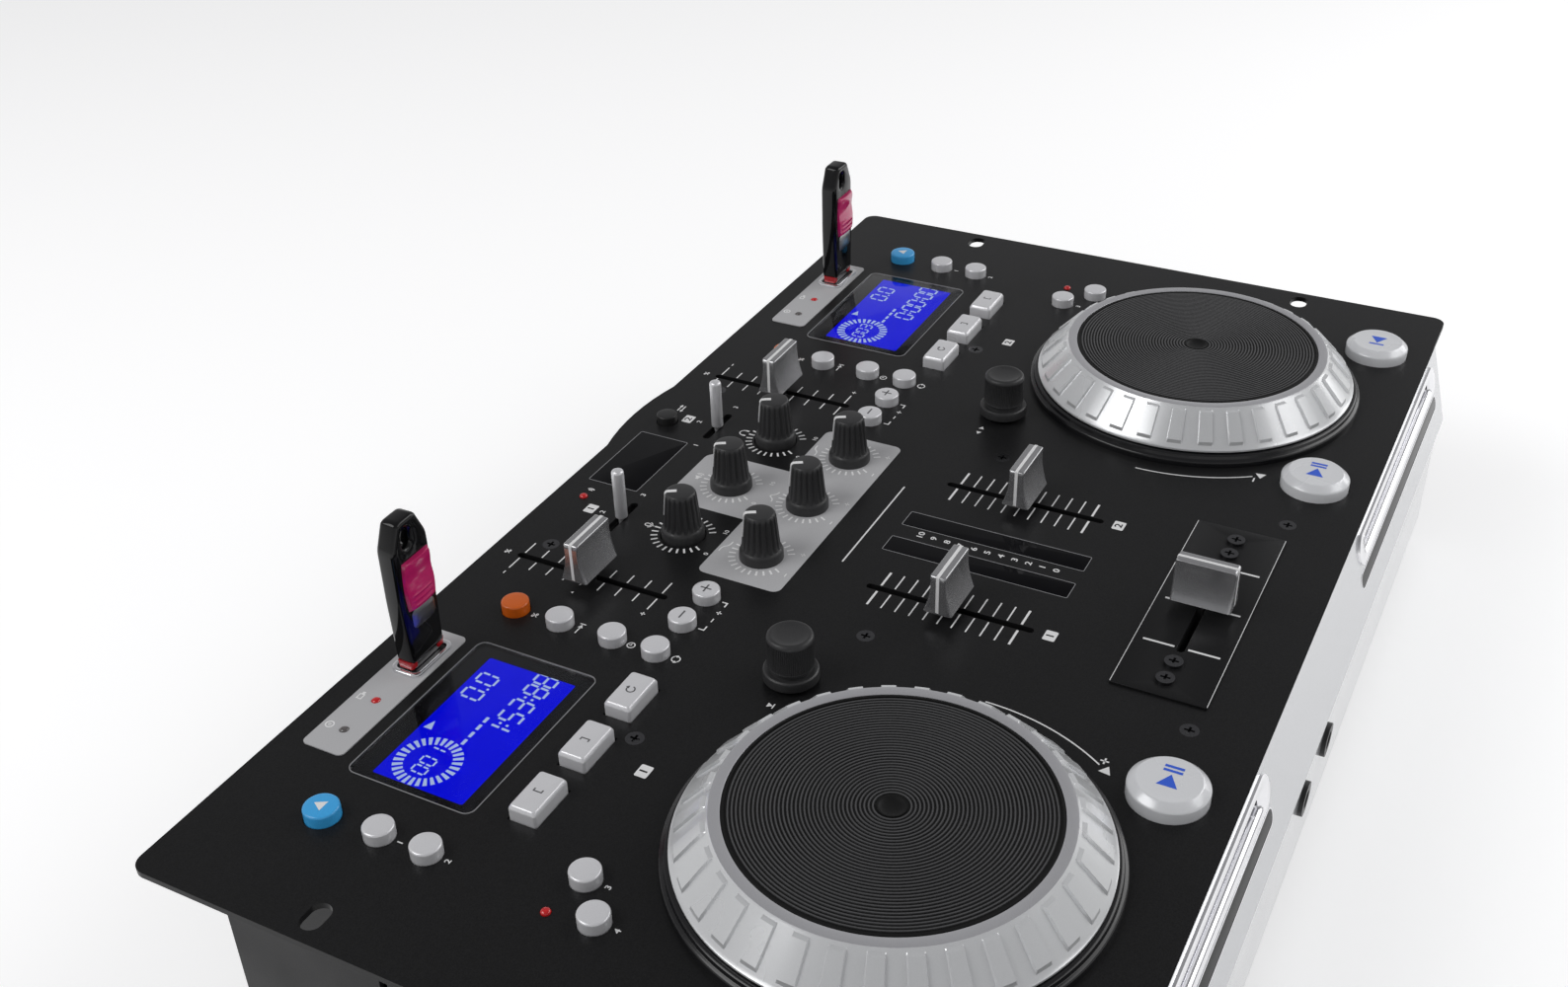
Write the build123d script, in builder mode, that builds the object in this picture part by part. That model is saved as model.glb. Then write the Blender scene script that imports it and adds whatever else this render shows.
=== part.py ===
from build123d import *
import math
import os

# A two-deck disc and USB player with a mixer, on a 19 inch rack panel.
# Millimetres. +X is to the right, +Y to the back, +Z up. The origin is on the surface that the
# player stands on, under the middle of the whole.

# ---------------------------------------------------------------- overall sizes
PANEL_W = 482.6          # a 19 inch rack panel
PANEL_D = 268.0          # about six rack units
PANEL_T = 2.0
PANEL_CORNER_R = 5.0
BODY_H = 84.0            # underside of the case to the face of the panel
FOOT_H = 8.0
FOOT_R = 12.0
FOOT_TAPER = 4           # degrees
FOOT_INSET = 24.0        # from the case's sides to a foot's centre
END_REACH = 9.0          # the fascia's nose and the rear sockets stand this far past the panel
RACK_EAR = 25.3          # how far the panel reaches past the case at each end
CASE_W = PANEL_W - 2 * RACK_EAR
CASE_WALL = 1.5
CASE_SETBACK = 2.0       # from the panel's front edge to the case
CASE_REAR_INSET = 1.5    # from the panel's rear edge to the case
VENT_L, VENT_W, VENT_PITCH, VENT_COUNT, VENT_H = 34.0, 3.0, 7.0, 22, 40.0
SWELL_X, SWELL_L, SWELL_REACH = 30.0, 50.0, 3.0   # the panel's rear edge swells out here

Z_FACE = FOOT_H + BODY_H
Z_UNDER = Z_FACE - PANEL_T
REAR = PANEL_D / 2
FRONT = -PANEL_D / 2
CASE_FRONT = FRONT + CASE_SETBACK
CASE_REAR = REAR - CASE_REAR_INSET

# ---------------------------------------------------------------- clearances
SLIP = 0.3               # round a piece that moves through a hole
FIT = 0.05               # radial, for a shaft that turns or slides in its bore
SEAT = 0.2               # between a button's flange and the panel above it

# ---------------------------------------------------------------- layout of the panel
DECK_INSET = 96.9        # from the panel's end to a jog wheel's centre
DECK_X = PANEL_W / 2 - DECK_INSET
SIDES = {"a": -1, "b": 1}


def back(distance):
    """y of a place measured from the panel's rear edge."""
    return REAR - distance


def fore(distance):
    """y of a place measured from the panel's front edge."""
    return FRONT + distance


def deck(side, outward, y):
    """A place on one deck, measured outwards from the jog wheel's centre line."""
    return (SIDES[side] * (DECK_X + outward), y)


def upright(y):
    """A plane that faces the front at depth y: its x is X and its y is Z."""
    return Plane(origin=(0, y, 0), x_dir=(1, 0, 0), z_dir=(0, -1, 0))


JOG_Y = fore(80.9)
PLAY_OUT, PLAY_Y = -54.9, fore(20.1)
CUE_OUT, CUE_Y = 54.9, fore(20.4)
ENCODER_OUT, ENCODER_Y = -54.6, back(128.05)
EJECT_OUT, EJECT_Y = 57.1, back(35.55)
PITCH_KEY_OUT, PITCH_KEY_Y = -47.6, back(29.05)
MODE_YS = (back(46.55), back(66.75), back(83.05))
BEND_OUTS, BEND_Y = (-64.5, -80.4), back(83.05)
LOOP_OUTS, LOOP_Y = (26.5, 1.4, -23.7), back(88.85)
OUTER_PLACES = ((56.2, back(55.25)), (56.2, back(71.75)), (45.1, back(116.85)), (57.2, back(127.35)))
OUTER_LED = (59.9, back(113.75))
PITCH_OUT, PITCH_Y = -74.4, back(41.15)
CHANNEL_X, CHANNEL_Y = 34.7, back(157.7)
CROSS_Y = fore(35.6)
KNOB_PITCH_X = 35.0
KNOB_YS = (back(57.05), back(88.25))
LEVER_X, LEVER_Y = 35.0, back(31.55)
SYNC_AT = (30.3, back(11.75))
LINK_LED_AT = (-29.3, back(11.65))
METER_XS, METER_Y = (-8.8, 7.9), back(157.3)
CENTRE_WINDOW_AT = (0.45, back(17.1))
SCREW_X = 60.0
SCREW_AT = [(s * SCREW_X, y) for s in (-1, 1) for y in (back(18.05), back(139.55), fore(22.4))]
SCREW_AT += [deck(side, -9.7, back(98.55)) for side in SIDES]

# rack slots, on the standard hole spacing of a rack
RACK_SLOT_INSET = 8.75   # from the panel's end to the middle of a slot
RACK_SPAN_X = PANEL_W - 2 * RACK_SLOT_INSET
RACK_SPAN_Y = 149.225
RACK_SLOT_L = 10.0
RACK_SLOT_W = 6.8

# ---------------------------------------------------------------- buttons
KEY_R = 4.7
KEY_H = 4.0
EJECT_R = 5.4
BIG_KEY_R = 12.0
BIG_KEY_H = 6.0
BIG_KEY_BEVEL = 2.5
SYNC_R = 4.0
SYNC_H = 3.5
LOOP_L, LOOP_W = 17.0, 9.5
LOOP_TOP_L, LOOP_TOP_W = 14.0, 7.5
LOOP_H, LOOP_STEP_H = 5.0, 3.2
FLANGE_T = 0.8
FLANGE_LIP = 1.1
STEM_R = 1.5
TRAVEL = 1.2
KEY_BEVEL = 0.6

# ---------------------------------------------------------------- faders
PITCH_SLOT_L = 60.2
CHANNEL_SLOT_L = 59.3
CROSS_SLOT_L = 52.0
SLOT_W = 2.6
CAP_L, CAP_BASE_W, CAP_TOP_W = 20.0, 10.0, 5.6
CAP_Z, CAP_H = 4.0, 14.7
CAP_HOLLOW = 0.9         # how far a cap's sides curve in
CAP_LINE_W, CAP_LINE_DEPTH = 1.2, 0.4
BLADE_W, BLADE_T = 4.0, SLOT_W - 1.2
BLADE_DOWN = 6.0         # how far a fader's blade reaches below the panel's underside
BLADE_SIDE = 0.8         # between a blade and the sides of its channel
FADER_CHANNEL_W, FADER_CHANNEL_DEEP = BLADE_T + 2 * BLADE_SIDE, BLADE_DOWN + 1.0
FADER_BODY_W, FADER_BODY_H, FADER_BODY_END = 11.0, 8.5, 4.0
CROSS_PLATE_W, CROSS_PLATE_T = 30.7, 0.8
CROSS_SCREWS_X = (CROSS_SLOT_L / 2 + 6.3, CROSS_SLOT_L / 2 + 15.2)
CROSS_PLATE_L = 2 * CROSS_SCREWS_X[1] + 15.8
CROSS_HOLE_GAP = 1.0      # between that fader's body and its hole
CROSS_HOLE_L, CROSS_HOLE_W = 2 * CROSS_SCREWS_X[0] + 11.4, FADER_BODY_W + 2 * CROSS_HOLE_GAP

# ---------------------------------------------------------------- knobs, levers, encoders
KNOB_R = 7.8
KNOB_HOLE_R = KNOB_R + 0.4
KNOB_FLANGE_H, KNOB_H = 4.0, 18.3
KNOB_WAIST_R, KNOB_TOP_R = 6.7, 5.2
KNOB_SUNK = 1.0          # how far a knob's skirt goes below the panel's face
KNOB_EDGE, KNOB_FLANGE_EDGE = 0.8, 1.0
SPINDLE_R = 3.0
BUSH_R, BUSH_H = SPINDLE_R + 1.2, 3.0
SOCKET_R = BUSH_R + 0.8  # the room inside a knob for the bush
POT_L, POT_W, POT_H, POT_FLOOR = 2 * KNOB_HOLE_R + 2.0, 12.0, 7.0, 1.5
ENCODER_TOP_R, ENCODER_BASE_R, ENCODER_H = 7.4, 9.0, 18.0
ENCODER_BASE_Z, ENCODER_BASE_H = 1.4, 3.6
ENCODER_WAIST_R = 6.9
ENCODER_TRAVEL = 0.8
ENCODER_EDGE, ENCODER_RIM_W = 0.6, 0.8
ENCODER_WAIST_H = 1.2
ENCODER_BODY_W = 10.0
ENCODER_ROOF = 3.0       # from the top of a browse knob to the end of its shaft
ENCODER_SHAFT_DOWN = 4.0
LEVER_R, LEVER_H = 2.25, 20.0
LEVER_NECK_R, LEVER_LIFT = 1.2, 0.4
LEVER_SLOT_L, LEVER_SLOT_W = 20.0, 2 * LEVER_NECK_R + 0.6
LEVER_DOWN = 5.0
LEVER_CHANNEL_DEEP = LEVER_DOWN + 0.5
LEVER_BODY_END, LEVER_BODY_W, LEVER_BODY_H = 3.0, 8.0, LEVER_DOWN + 2.0

# ---------------------------------------------------------------- jog wheels
JOG_H = 17.6
JOG_RING_R, JOG_RIM_OUT_R = 61.0, 49.7
JOG_BASE_R, JOG_BASE_H = JOG_RING_R + 3.0, 4.2
JOG_DISC_R = JOG_RIM_OUT_R - 3.4
JOG_RING_Z = JOG_BASE_H + 0.4
JOG_RING_EDGE_H = 1.2
JOG_WALL = 2.0
JOG_DISC_T = 2.4
JOG_HUB_R, JOG_AXLE_R, JOG_FLANGE_R = 10.0, 4.0, 20.0
JOG_FLANGE_T = 1.0
JOG_BASE_EDGE = 1.2
DISH_R, DISH_DEPTH = 3.8, 0.8   # the hollow in a disc's middle

# ---------------------------------------------------------------- windows and USB
DISPLAY_OUT, DISPLAY_Y = 5.25, back(51.2)
DISPLAY_L, DISPLAY_W, DISPLAY_R = 68.3, 45.3, 3.0
LCD_OUT, LCD_Y = 6.1, back(52.05)
LCD_L, LCD_W, LCD_H = 62.0, 36.0, 7.0
LENS_T, LENS_PROUD = 1.3, 0.2
METER_L, METER_W = 66.9, 8.8
METER_BAR_W, METER_BAR_L = 6.0, 60.0
CENTRE_WINDOW_L, CENTRE_WINDOW_W = 37.5, 20.5
WINDOW_T = 1.2
USB_OUT = {"a": 4.05, "b": 9.5}   # the two plates are alike, not mirrored
USB_Y = back(16.45)
USB_PLATE_L, USB_PLATE_W, USB_PLATE_R, USB_PLATE_T = 63.0, 15.4, 2.0, 0.4
USB_LED_XS = (-21.4, -6.3)        # from a plate's centre
USB_SOCKET_X, USB_SOCKET_DY = 17.0, -0.6
PLUG_L, PLUG_W, PLUG_DEPTH = 12.0, 4.5, 9.0
USB_MOUTH_L, USB_MOUTH_W = PLUG_L + 0.5, PLUG_W + 0.5
USB_SHELL_L, USB_SHELL_W = USB_MOUTH_L + 1.5, USB_MOUTH_W + 1.6
USB_SHELL_DEPTH, USB_SHELL_FLOOR = PLUG_DEPTH + 3.0, 1.0
USB_WELL_L, USB_WELL_W = USB_MOUTH_L + 3.5, USB_MOUTH_W + 3.2
USB_RIM_L, USB_RIM_W = USB_WELL_L + 4.0, USB_WELL_W + 3.3
USB_RIM_R, USB_RIM_H = 3.0, 1.2
STICK_L, STICK_W, STICK_Z, STICK_TOP = PLUG_L + 5.0, 8.0, 2.4, 55.0
STICK_SHOULDER, STICK_SLANT = 9.0, 4.5
CORD_HOLE_L, CORD_HOLE_W, CORD_HOLE_DROP = 7.0, 3.2, 6.0
LED_R, LED_H = 1.5, 1.0

# ---------------------------------------------------------------- fascia and disc slots
FASCIA_WALL = 2.5
FASCIA_TOP_DROP = 0.3    # the fascia's top edge lies this far below the panel's face
FASCIA_GAP = 0.2
FASCIA_SLOPE = 75.0      # degrees above level
FASCIA_LOW_INSET = 1.5   # the lower face stands back from the nose
SLOT_DROP = 8.0          # from the panel's face to the middle of a disc slot
SLOT_OUT = -10.4         # the slot's middle from the jog wheel's centre line
SLOT_L, SLOT_W_DISC = 124.0, 4.8
BEZEL_L, BEZEL_W, BEZEL_PROUD, BEZEL_DEEP = SLOT_L + 18.0, SLOT_W_DISC + 7.2, 1.0, 3.0
INLAY_DROP, INLAY_W, INLAY_T = 19.0, 6.0, 1.2
DRIVE_COVER_T, DRIVE_SIDE_T = 0.5, 2.0
DRIVE_L, DRIVE_D, DRIVE_H = SLOT_L + 2 * DRIVE_SIDE_T, 127.0, 12.7
DRIVE_ROOM_H = SLOT_W_DISC + 0.2   # the height of the space that a disc moves in
DRIVE_SPACER_OUT = DRIVE_L / 2 - 5.0
DRIVE_SPACER_YS = (fore(54.0), fore(122.0))
PAD_R, PAD_T = 5.0, 0.4   # under the play and cue keys

# ---------------------------------------------------------------- inside and back
BOARD_DROP = 14.0        # from the panel's underside to the boards below it
BOARD_T = 1.6
BOARD_Z = Z_UNDER - BOARD_DROP
BOARD_GAP, BOARD_SIDE_GAP = 2.5, 2.0
BOARD_REAR = CASE_REAR - CASE_WALL - BOARD_SIDE_GAP
BOARD_FRONT_GAP = 6.0
MIXER_NARROW, MIXER_WIDE = 54.0, 64.0
SPACER_R = 3.0
SCREW_R, SCREW_HEAD_R, SCREW_L = 1.5, 3.0, 8.0
SCREW_RECESS_W, SCREW_RECESS_L, SCREW_RECESS_H = 0.8, 3.2, 1.1
CROSS_HEAD_H, CROSS_SCREW_L = 1.0, 4.8
TACT_W, TACT_H = 6.0, 5.0
RCA_XS, RCA_ZS = (-126.0, -98.0, -70.0, -42.0), (42.0, 60.0)
RCA_R, RCA_HOLE_R = 4.15, 1.7
RCA_BLOCK_W, RCA_BLOCK_D, RCA_BLOCK_END = 14.0, 12.0, 8.0
INLET_X, INLET_Z, INLET_L, INLET_W = CASE_W / 2 - 40.0, 42.0, 28.0, 20.5
INLET_WALL, INLET_DEEP = 2.0, 18.0
INLET_FLANGE_T, INLET_FLANGE_L, INLET_FLANGE_W = 2.0, INLET_L + 8.0, INLET_W + 5.0
PIN_AT = ((-7.0, 2.0), (0.0, 5.0), (7.0, 2.0))
PIN_W, PIN_H, PIN_SHORT = 2.0, 4.0, 5.0
ROCKER_X, ROCKER_Z, ROCKER_R, ROCKER_W = INLET_X - 38.0, INLET_Z, 8.8, 11.0
ROCKER_TILT = 7.0
ROCKER_HUB = 3.6         # from the pivot to the face, at the middle of the rocker
ROCKER_FRAME_W, ROCKER_FRAME_L = ROCKER_W + 2.0, 2 * ROCKER_R + 2.6
ROCKER_LIP = 2.0
JACK_XS, JACK_Z, JACK_R, JACK_HOLE_R = (-16.0, 16.0), 40.0, 6.0, 3.2
JACK_LIP = 1.2
JACK_BODY_W, JACK_BODY_L = 15.0, 30.0
TAB_YS, TAB_L, TAB_W = (fore(59.0), fore(104.0), fore(174.0)), 20.0, 11.0
FLOOR_Z = FOOT_H + CASE_WALL
MAIN_L, MAIN_W = 110.0, 150.0
SUPPLY_L, SUPPLY_W, SUPPLY_AT = 120.0, 90.0, (CASE_W / 2 - 78.0, CASE_REAR - 72.5)
BOARD_STAND_H, BOARD_STAND_R, BOARD_STAND_INSET = 8.0, 3.0, 6.0
TRANSFORMER_L, TRANSFORMER_W, TRANSFORMER_H = 38.0, 34.0, 30.0
TRANSFORMER_FROM = (-33.0, -5.0)  # from the power supply's middle
CAPACITOR_R, CAPACITOR_H = 7.0, 24.0
CAPACITORS_FROM = ((12.0, 25.0), (30.0, 25.0))

os.makedirs("parts", exist_ok=True)


def save(piece, label):
    """Label one finished piece and write it."""
    piece.part.label = label
    export_step(piece.part, f"parts/{label}.step")


# ================================================================ places used by several pieces
KNOBS = {
    "mic": (-KNOB_PITCH_X, KNOB_YS[0]), "master": (0, KNOB_YS[0]), "phones": (KNOB_PITCH_X, KNOB_YS[0]),
    "low": (-KNOB_PITCH_X, KNOB_YS[1]), "mid": (0, KNOB_YS[1]), "high": (KNOB_PITCH_X, KNOB_YS[1]),
}
MODE_AT = {s: [deck(s, PITCH_KEY_OUT, y) for y in MODE_YS] for s in SIDES}
BEND_AT = {s: [deck(s, out, BEND_Y) for out in BEND_OUTS] for s in SIDES}
OUTER_AT = {s: [deck(s, out, y) for out, y in OUTER_PLACES] for s in SIDES}
LOOP_AT = {s: [deck(s, out, LOOP_Y) for out in LOOP_OUTS] for s in SIDES}
EJECT_AT = {s: deck(s, EJECT_OUT, EJECT_Y) for s in SIDES}
PITCH_KEY_AT = {s: deck(s, PITCH_KEY_OUT, PITCH_KEY_Y) for s in SIDES}
PLAY_AT = {s: deck(s, PLAY_OUT, PLAY_Y) for s in SIDES}
CUE_AT = {s: deck(s, CUE_OUT, CUE_Y) for s in SIDES}
ENCODER_AT = {s: deck(s, ENCODER_OUT, ENCODER_Y) for s in SIDES}
DISPLAY_AT = {s: deck(s, DISPLAY_OUT, DISPLAY_Y) for s in SIDES}
LCD_AT = {s: deck(s, LCD_OUT, LCD_Y) for s in SIDES}
USB_PLATE_AT = {s: deck(s, USB_OUT[s], USB_Y) for s in SIDES}
USB_AT = {s: (x + USB_SOCKET_X, y + USB_SOCKET_DY) for s, (x, y) in USB_PLATE_AT.items()}
USB_LED_AT = [(x + dx, y + USB_SOCKET_DY) for x, y in USB_PLATE_AT.values() for dx in USB_LED_XS]
LED_AT = USB_LED_AT + [LINK_LED_AT] + [deck(s, *OUTER_LED) for s in SIDES]
JOG_AT = [deck(s, 0, JOG_Y) for s in SIDES]
LEVER_AT = {s: (SIDES[s] * LEVER_X, LEVER_Y) for s in SIDES}
PITCH_AT = [deck(s, PITCH_OUT, PITCH_Y) for s in SIDES]
CHANNEL_AT = [(SIDES[s] * CHANNEL_X, CHANNEL_Y) for s in SIDES]
DRIVE_X = DECK_X + SLOT_OUT
DRIVE_SPACER_AT = [
    (side * (DRIVE_X + dx), y)
    for side in (-1, 1) for dx in (-DRIVE_SPACER_OUT, DRIVE_SPACER_OUT) for y in DRIVE_SPACER_YS
]
DRIVE_TOP = Z_FACE - SLOT_DROP + DRIVE_ROOM_H / 2 + DRIVE_COVER_T
KEYS_AT = [at for s in SIDES for at in MODE_AT[s] + BEND_AT[s] + OUTER_AT[s] + [PITCH_KEY_AT[s]]]
CROSS_SCREW_AT = [(side * x, CROSS_Y) for side in (-1, 1) for x in CROSS_SCREWS_X]

# ================================================================ top panel
with BuildPart() as top_panel:
    with BuildSketch(Plane.XY.offset(Z_UNDER)):
        RectangleRounded(PANEL_W, PANEL_D, PANEL_CORNER_R)
        # the rear edge swells out a little behind the mixer
        with BuildLine():
            swell = ThreePointArc(
                (SWELL_X - SWELL_L / 2, REAR), (SWELL_X, REAR + SWELL_REACH), (SWELL_X + SWELL_L / 2, REAR)
            )
            Line(swell @ 1, swell @ 0)
        make_face()
        with GridLocations(RACK_SPAN_X, RACK_SPAN_Y, 2, 2):
            SlotOverall(RACK_SLOT_L, RACK_SLOT_W, mode=Mode.SUBTRACT)
        with Locations(*KEYS_AT):
            Circle(KEY_R + SLIP, mode=Mode.SUBTRACT)
        with Locations(*EJECT_AT.values()):
            Circle(EJECT_R + SLIP, mode=Mode.SUBTRACT)
        with Locations(*PLAY_AT.values(), *CUE_AT.values()):
            Circle(BIG_KEY_R + SLIP, mode=Mode.SUBTRACT)
        with Locations(SYNC_AT):
            Circle(SYNC_R + SLIP, mode=Mode.SUBTRACT)
        with Locations(*KNOBS.values()):
            Circle(KNOB_HOLE_R, mode=Mode.SUBTRACT)
        with Locations(*ENCODER_AT.values()):
            Circle(BUSH_R + FIT, mode=Mode.SUBTRACT)
        with Locations(*LED_AT):
            Circle(LED_R + FIT, mode=Mode.SUBTRACT)
        with Locations(*[at for s in SIDES for at in LOOP_AT[s]]):
            Rectangle(LOOP_L + 2 * SLIP, LOOP_W + 2 * SLIP, mode=Mode.SUBTRACT)
        with Locations(*PITCH_AT):
            SlotOverall(PITCH_SLOT_L, SLOT_W, rotation=90, mode=Mode.SUBTRACT)
        with Locations(*CHANNEL_AT):
            SlotOverall(CHANNEL_SLOT_L, SLOT_W, rotation=90, mode=Mode.SUBTRACT)
        with Locations(*LEVER_AT.values()):
            SlotOverall(LEVER_SLOT_L, LEVER_SLOT_W, mode=Mode.SUBTRACT)
        with Locations((0, CROSS_Y)):
            Rectangle(CROSS_HOLE_L, CROSS_HOLE_W, mode=Mode.SUBTRACT)
        with Locations(*DISPLAY_AT.values()):
            RectangleRounded(DISPLAY_L, DISPLAY_W, DISPLAY_R, mode=Mode.SUBTRACT)
        with Locations(*[(x, METER_Y) for x in METER_XS]):
            Rectangle(METER_W, METER_L, mode=Mode.SUBTRACT)
        with Locations(CENTRE_WINDOW_AT):
            Rectangle(CENTRE_WINDOW_L, CENTRE_WINDOW_W, mode=Mode.SUBTRACT)
        with Locations(*USB_AT.values()):
            Rectangle(USB_SHELL_L + 2 * FIT, USB_SHELL_W + 2 * FIT, mode=Mode.SUBTRACT)
    extrude(amount=PANEL_T)
    with Locations(*[(x, y, Z_FACE) for x, y in SCREW_AT]):
        CounterSinkHole(SCREW_R + FIT, SCREW_HEAD_R + FIT, depth=PANEL_T)
    outer_screw_x = CROSS_SCREWS_X[1]
    with Locations((-outer_screw_x, CROSS_Y, Z_FACE), (outer_screw_x, CROSS_Y, Z_FACE)):
        Hole(SCREW_R + FIT, depth=PANEL_T)
save(top_panel, "top_panel")

# ================================================================ case
with BuildPart() as housing:
    case_d = CASE_REAR - CASE_FRONT
    case_h = Z_UNDER - FOOT_H
    low = (Align.CENTER, Align.MAX, Align.MIN)
    with Locations((0, CASE_REAR, FOOT_H)):
        Box(CASE_W, case_d, case_h, align=low)
    with Locations((0, CASE_REAR - CASE_WALL, FOOT_H + CASE_WALL)):
        Box(CASE_W - 2 * CASE_WALL, case_d, case_h, align=low, mode=Mode.SUBTRACT)
    # tabs bent in at the top of the sides, which the panel lies on
    for side in (-1, 1):
        with Locations(*[(side * (CASE_W / 2 - TAB_W / 2), y, Z_UNDER) for y in TAB_YS]):
            Box(TAB_W, TAB_L, CASE_WALL, align=(Align.CENTER, Align.CENTER, Align.MAX))
    # vents in both sides
    with BuildSketch(Plane.YZ):
        with Locations(((CASE_FRONT + CASE_REAR) / 2, FOOT_H + VENT_H)):
            with GridLocations(VENT_PITCH, 0, VENT_COUNT, 1):
                SlotOverall(VENT_L, VENT_W, rotation=90)
    extrude(amount=CASE_W, both=True, mode=Mode.SUBTRACT)
    # holes in the rear wall
    with BuildSketch(upright(CASE_REAR)):
        with Locations(*[(x, z) for x in RCA_XS for z in RCA_ZS]):
            Circle(RCA_R + SLIP)
        with Locations((INLET_X, INLET_Z)):
            Rectangle(INLET_L + 2 * FIT, INLET_W + 2 * FIT)
        with Locations((ROCKER_X, ROCKER_Z)):
            Rectangle(ROCKER_FRAME_W + 4 * FIT, ROCKER_FRAME_L + 8 * FIT)
    extrude(amount=CASE_WALL, mode=Mode.SUBTRACT)
    # it is spot welded from a floor, a back and two sides
    split(bisect_by=Plane.XY.offset(FLOOR_Z), keep=Keep.BOTH)
    seam = upright(CASE_REAR - CASE_WALL)
    seam.origin += (0, 0, FLOOR_Z + case_h / 2)
    split(bisect_by=Face.make_rect(2 * CASE_W, case_h, seam), keep=Keep.BOTH)
save(housing, "housing")

with BuildPart() as feet:
    foot_x = CASE_W / 2 - FOOT_INSET
    foot_y = case_d / 2 - FOOT_INSET
    case_mid_y = (CASE_FRONT + CASE_REAR) / 2
    with BuildSketch(Plane.XY.offset(FOOT_H)):
        with Locations((0, case_mid_y)):
            with GridLocations(2 * foot_x, 2 * foot_y, 2, 2):
                Circle(FOOT_R)
    extrude(amount=-FOOT_H, taper=FOOT_TAPER)
save(feet, "feet")

# ================================================================ fascia
slope = math.radians(FASCIA_SLOPE)
fascia_top = (FRONT - FASCIA_GAP, Z_FACE - FASCIA_TOP_DROP)
nose_y = FRONT - END_REACH
nose_z = fascia_top[1] - (fascia_top[0] - nose_y) * math.tan(slope)
low_y = nose_y + FASCIA_LOW_INSET
rear_y = CASE_FRONT - FASCIA_GAP
fascia_bottom = FLOOR_Z
shelf_z = Z_UNDER - FASCIA_GAP
# the wall's inner corners
inner_shift = FASCIA_WALL / math.sin(slope)
inner_top_z = shelf_z - FASCIA_WALL
inner_top_y = fascia_top[0] + inner_shift - (fascia_top[1] - inner_top_z) / math.tan(slope)
inner_low_y = low_y + FASCIA_WALL
inner_nose_z = fascia_top[1] - (fascia_top[0] + inner_shift - inner_low_y) * math.tan(slope)

slot_z = Z_FACE - SLOT_DROP


def slope_plane(x, drop):
    """The plane of the fascia's upper face at x, this far below the panel's face; its y runs up it."""
    z = Z_FACE - drop
    y = fascia_top[0] - (fascia_top[1] - z) / math.tan(slope)
    return Plane(origin=(x, y, z), x_dir=(1, 0, 0), z_dir=(0, -math.sin(slope), math.cos(slope)))


with BuildPart() as front_fascia:
    with BuildSketch(Plane.YZ.offset(-CASE_W / 2)):
        with BuildLine():
            Polyline(
                fascia_top, (nose_y, nose_z), (low_y, nose_z - FASCIA_LOW_INSET), (low_y, fascia_bottom),
                (rear_y, fascia_bottom), (rear_y, shelf_z), (fascia_top[0], shelf_z), close=True,
            )
        make_face()
    extrude(amount=CASE_W)
    with BuildSketch(Plane.YZ.offset(FASCIA_WALL - CASE_W / 2)):
        with BuildLine():
            Polyline(
                (rear_y + 1, inner_top_z), (inner_top_y, inner_top_z), (inner_low_y, inner_nose_z),
                (inner_low_y, fascia_bottom + FASCIA_WALL), (rear_y + 1, fascia_bottom + FASCIA_WALL),
                close=True,
            )
        make_face()
    extrude(amount=CASE_W - 2 * FASCIA_WALL, mode=Mode.SUBTRACT)
    for side in (-1, 1):
        with BuildSketch(slope_plane(side * DRIVE_X, SLOT_DROP)):
            SlotOverall(BEZEL_L + 2 * FIT, BEZEL_W + 2 * FIT)
        extrude(amount=-2 * FASCIA_WALL, mode=Mode.SUBTRACT)
        with BuildSketch(slope_plane(side * DRIVE_X, INLAY_DROP)):
            SlotOverall(BEZEL_L + 2 * FIT, INLAY_W + 2 * FIT)
        extrude(amount=-INLAY_T, mode=Mode.SUBTRACT)
    with BuildSketch(upright(low_y)):
        with Locations(*[(x, JACK_Z) for x in JACK_XS]):
            Circle(JACK_R - JACK_LIP + FIT)
    extrude(amount=-FASCIA_WALL, mode=Mode.SUBTRACT)
    # a left and a right length, each an upper moulding with the slot and an apron that meets it at the nose
    split(bisect_by=Plane.YZ, keep=Keep.BOTH)
    split(bisect_by=Plane.XY.offset(nose_z), keep=Keep.BOTH)
save(front_fascia, "front_fascia")

# bright bezels round the disc slots, and the dark strips let in below them
with BuildPart() as slot_trims:
    for side in (-1, 1):
        with BuildSketch(slope_plane(side * DRIVE_X, SLOT_DROP)):
            SlotOverall(BEZEL_L, BEZEL_W)
        extrude(amount=BEZEL_PROUD)
        with BuildSketch(slope_plane(side * DRIVE_X, SLOT_DROP)):
            SlotOverall(BEZEL_L, BEZEL_W)
        extrude(amount=-BEZEL_DEEP)
        with Locations((side * DRIVE_X, FRONT, slot_z)):
            Box(SLOT_L, 8 * BEZEL_DEEP, SLOT_W_DISC, mode=Mode.SUBTRACT)
        with BuildSketch(slope_plane(side * DRIVE_X, INLAY_DROP)):
            SlotOverall(BEZEL_L, INLAY_W)
        extrude(amount=FIT)
        with BuildSketch(slope_plane(side * DRIVE_X, INLAY_DROP)):
            SlotOverall(BEZEL_L, INLAY_W)
        extrude(amount=FIT - INLAY_T)
save(slot_trims, "slot_trims")

# ================================================================ disc drives
drive_front = rear_y + FASCIA_WALL
with BuildPart() as cd_drives:
    for side in (-1, 1):
        with Locations((side * DRIVE_X, drive_front, DRIVE_TOP)):
            Box(DRIVE_L, DRIVE_D, DRIVE_H, align=(Align.CENTER, Align.MIN, Align.MAX))
        with Locations((side * DRIVE_X, drive_front, slot_z)):
            Box(
                DRIVE_L - 2 * DRIVE_SIDE_T, 2 * (DRIVE_D - DRIVE_SIDE_T), DRIVE_ROOM_H,
                mode=Mode.SUBTRACT,
            )
save(cd_drives, "cd_drives")

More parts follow.
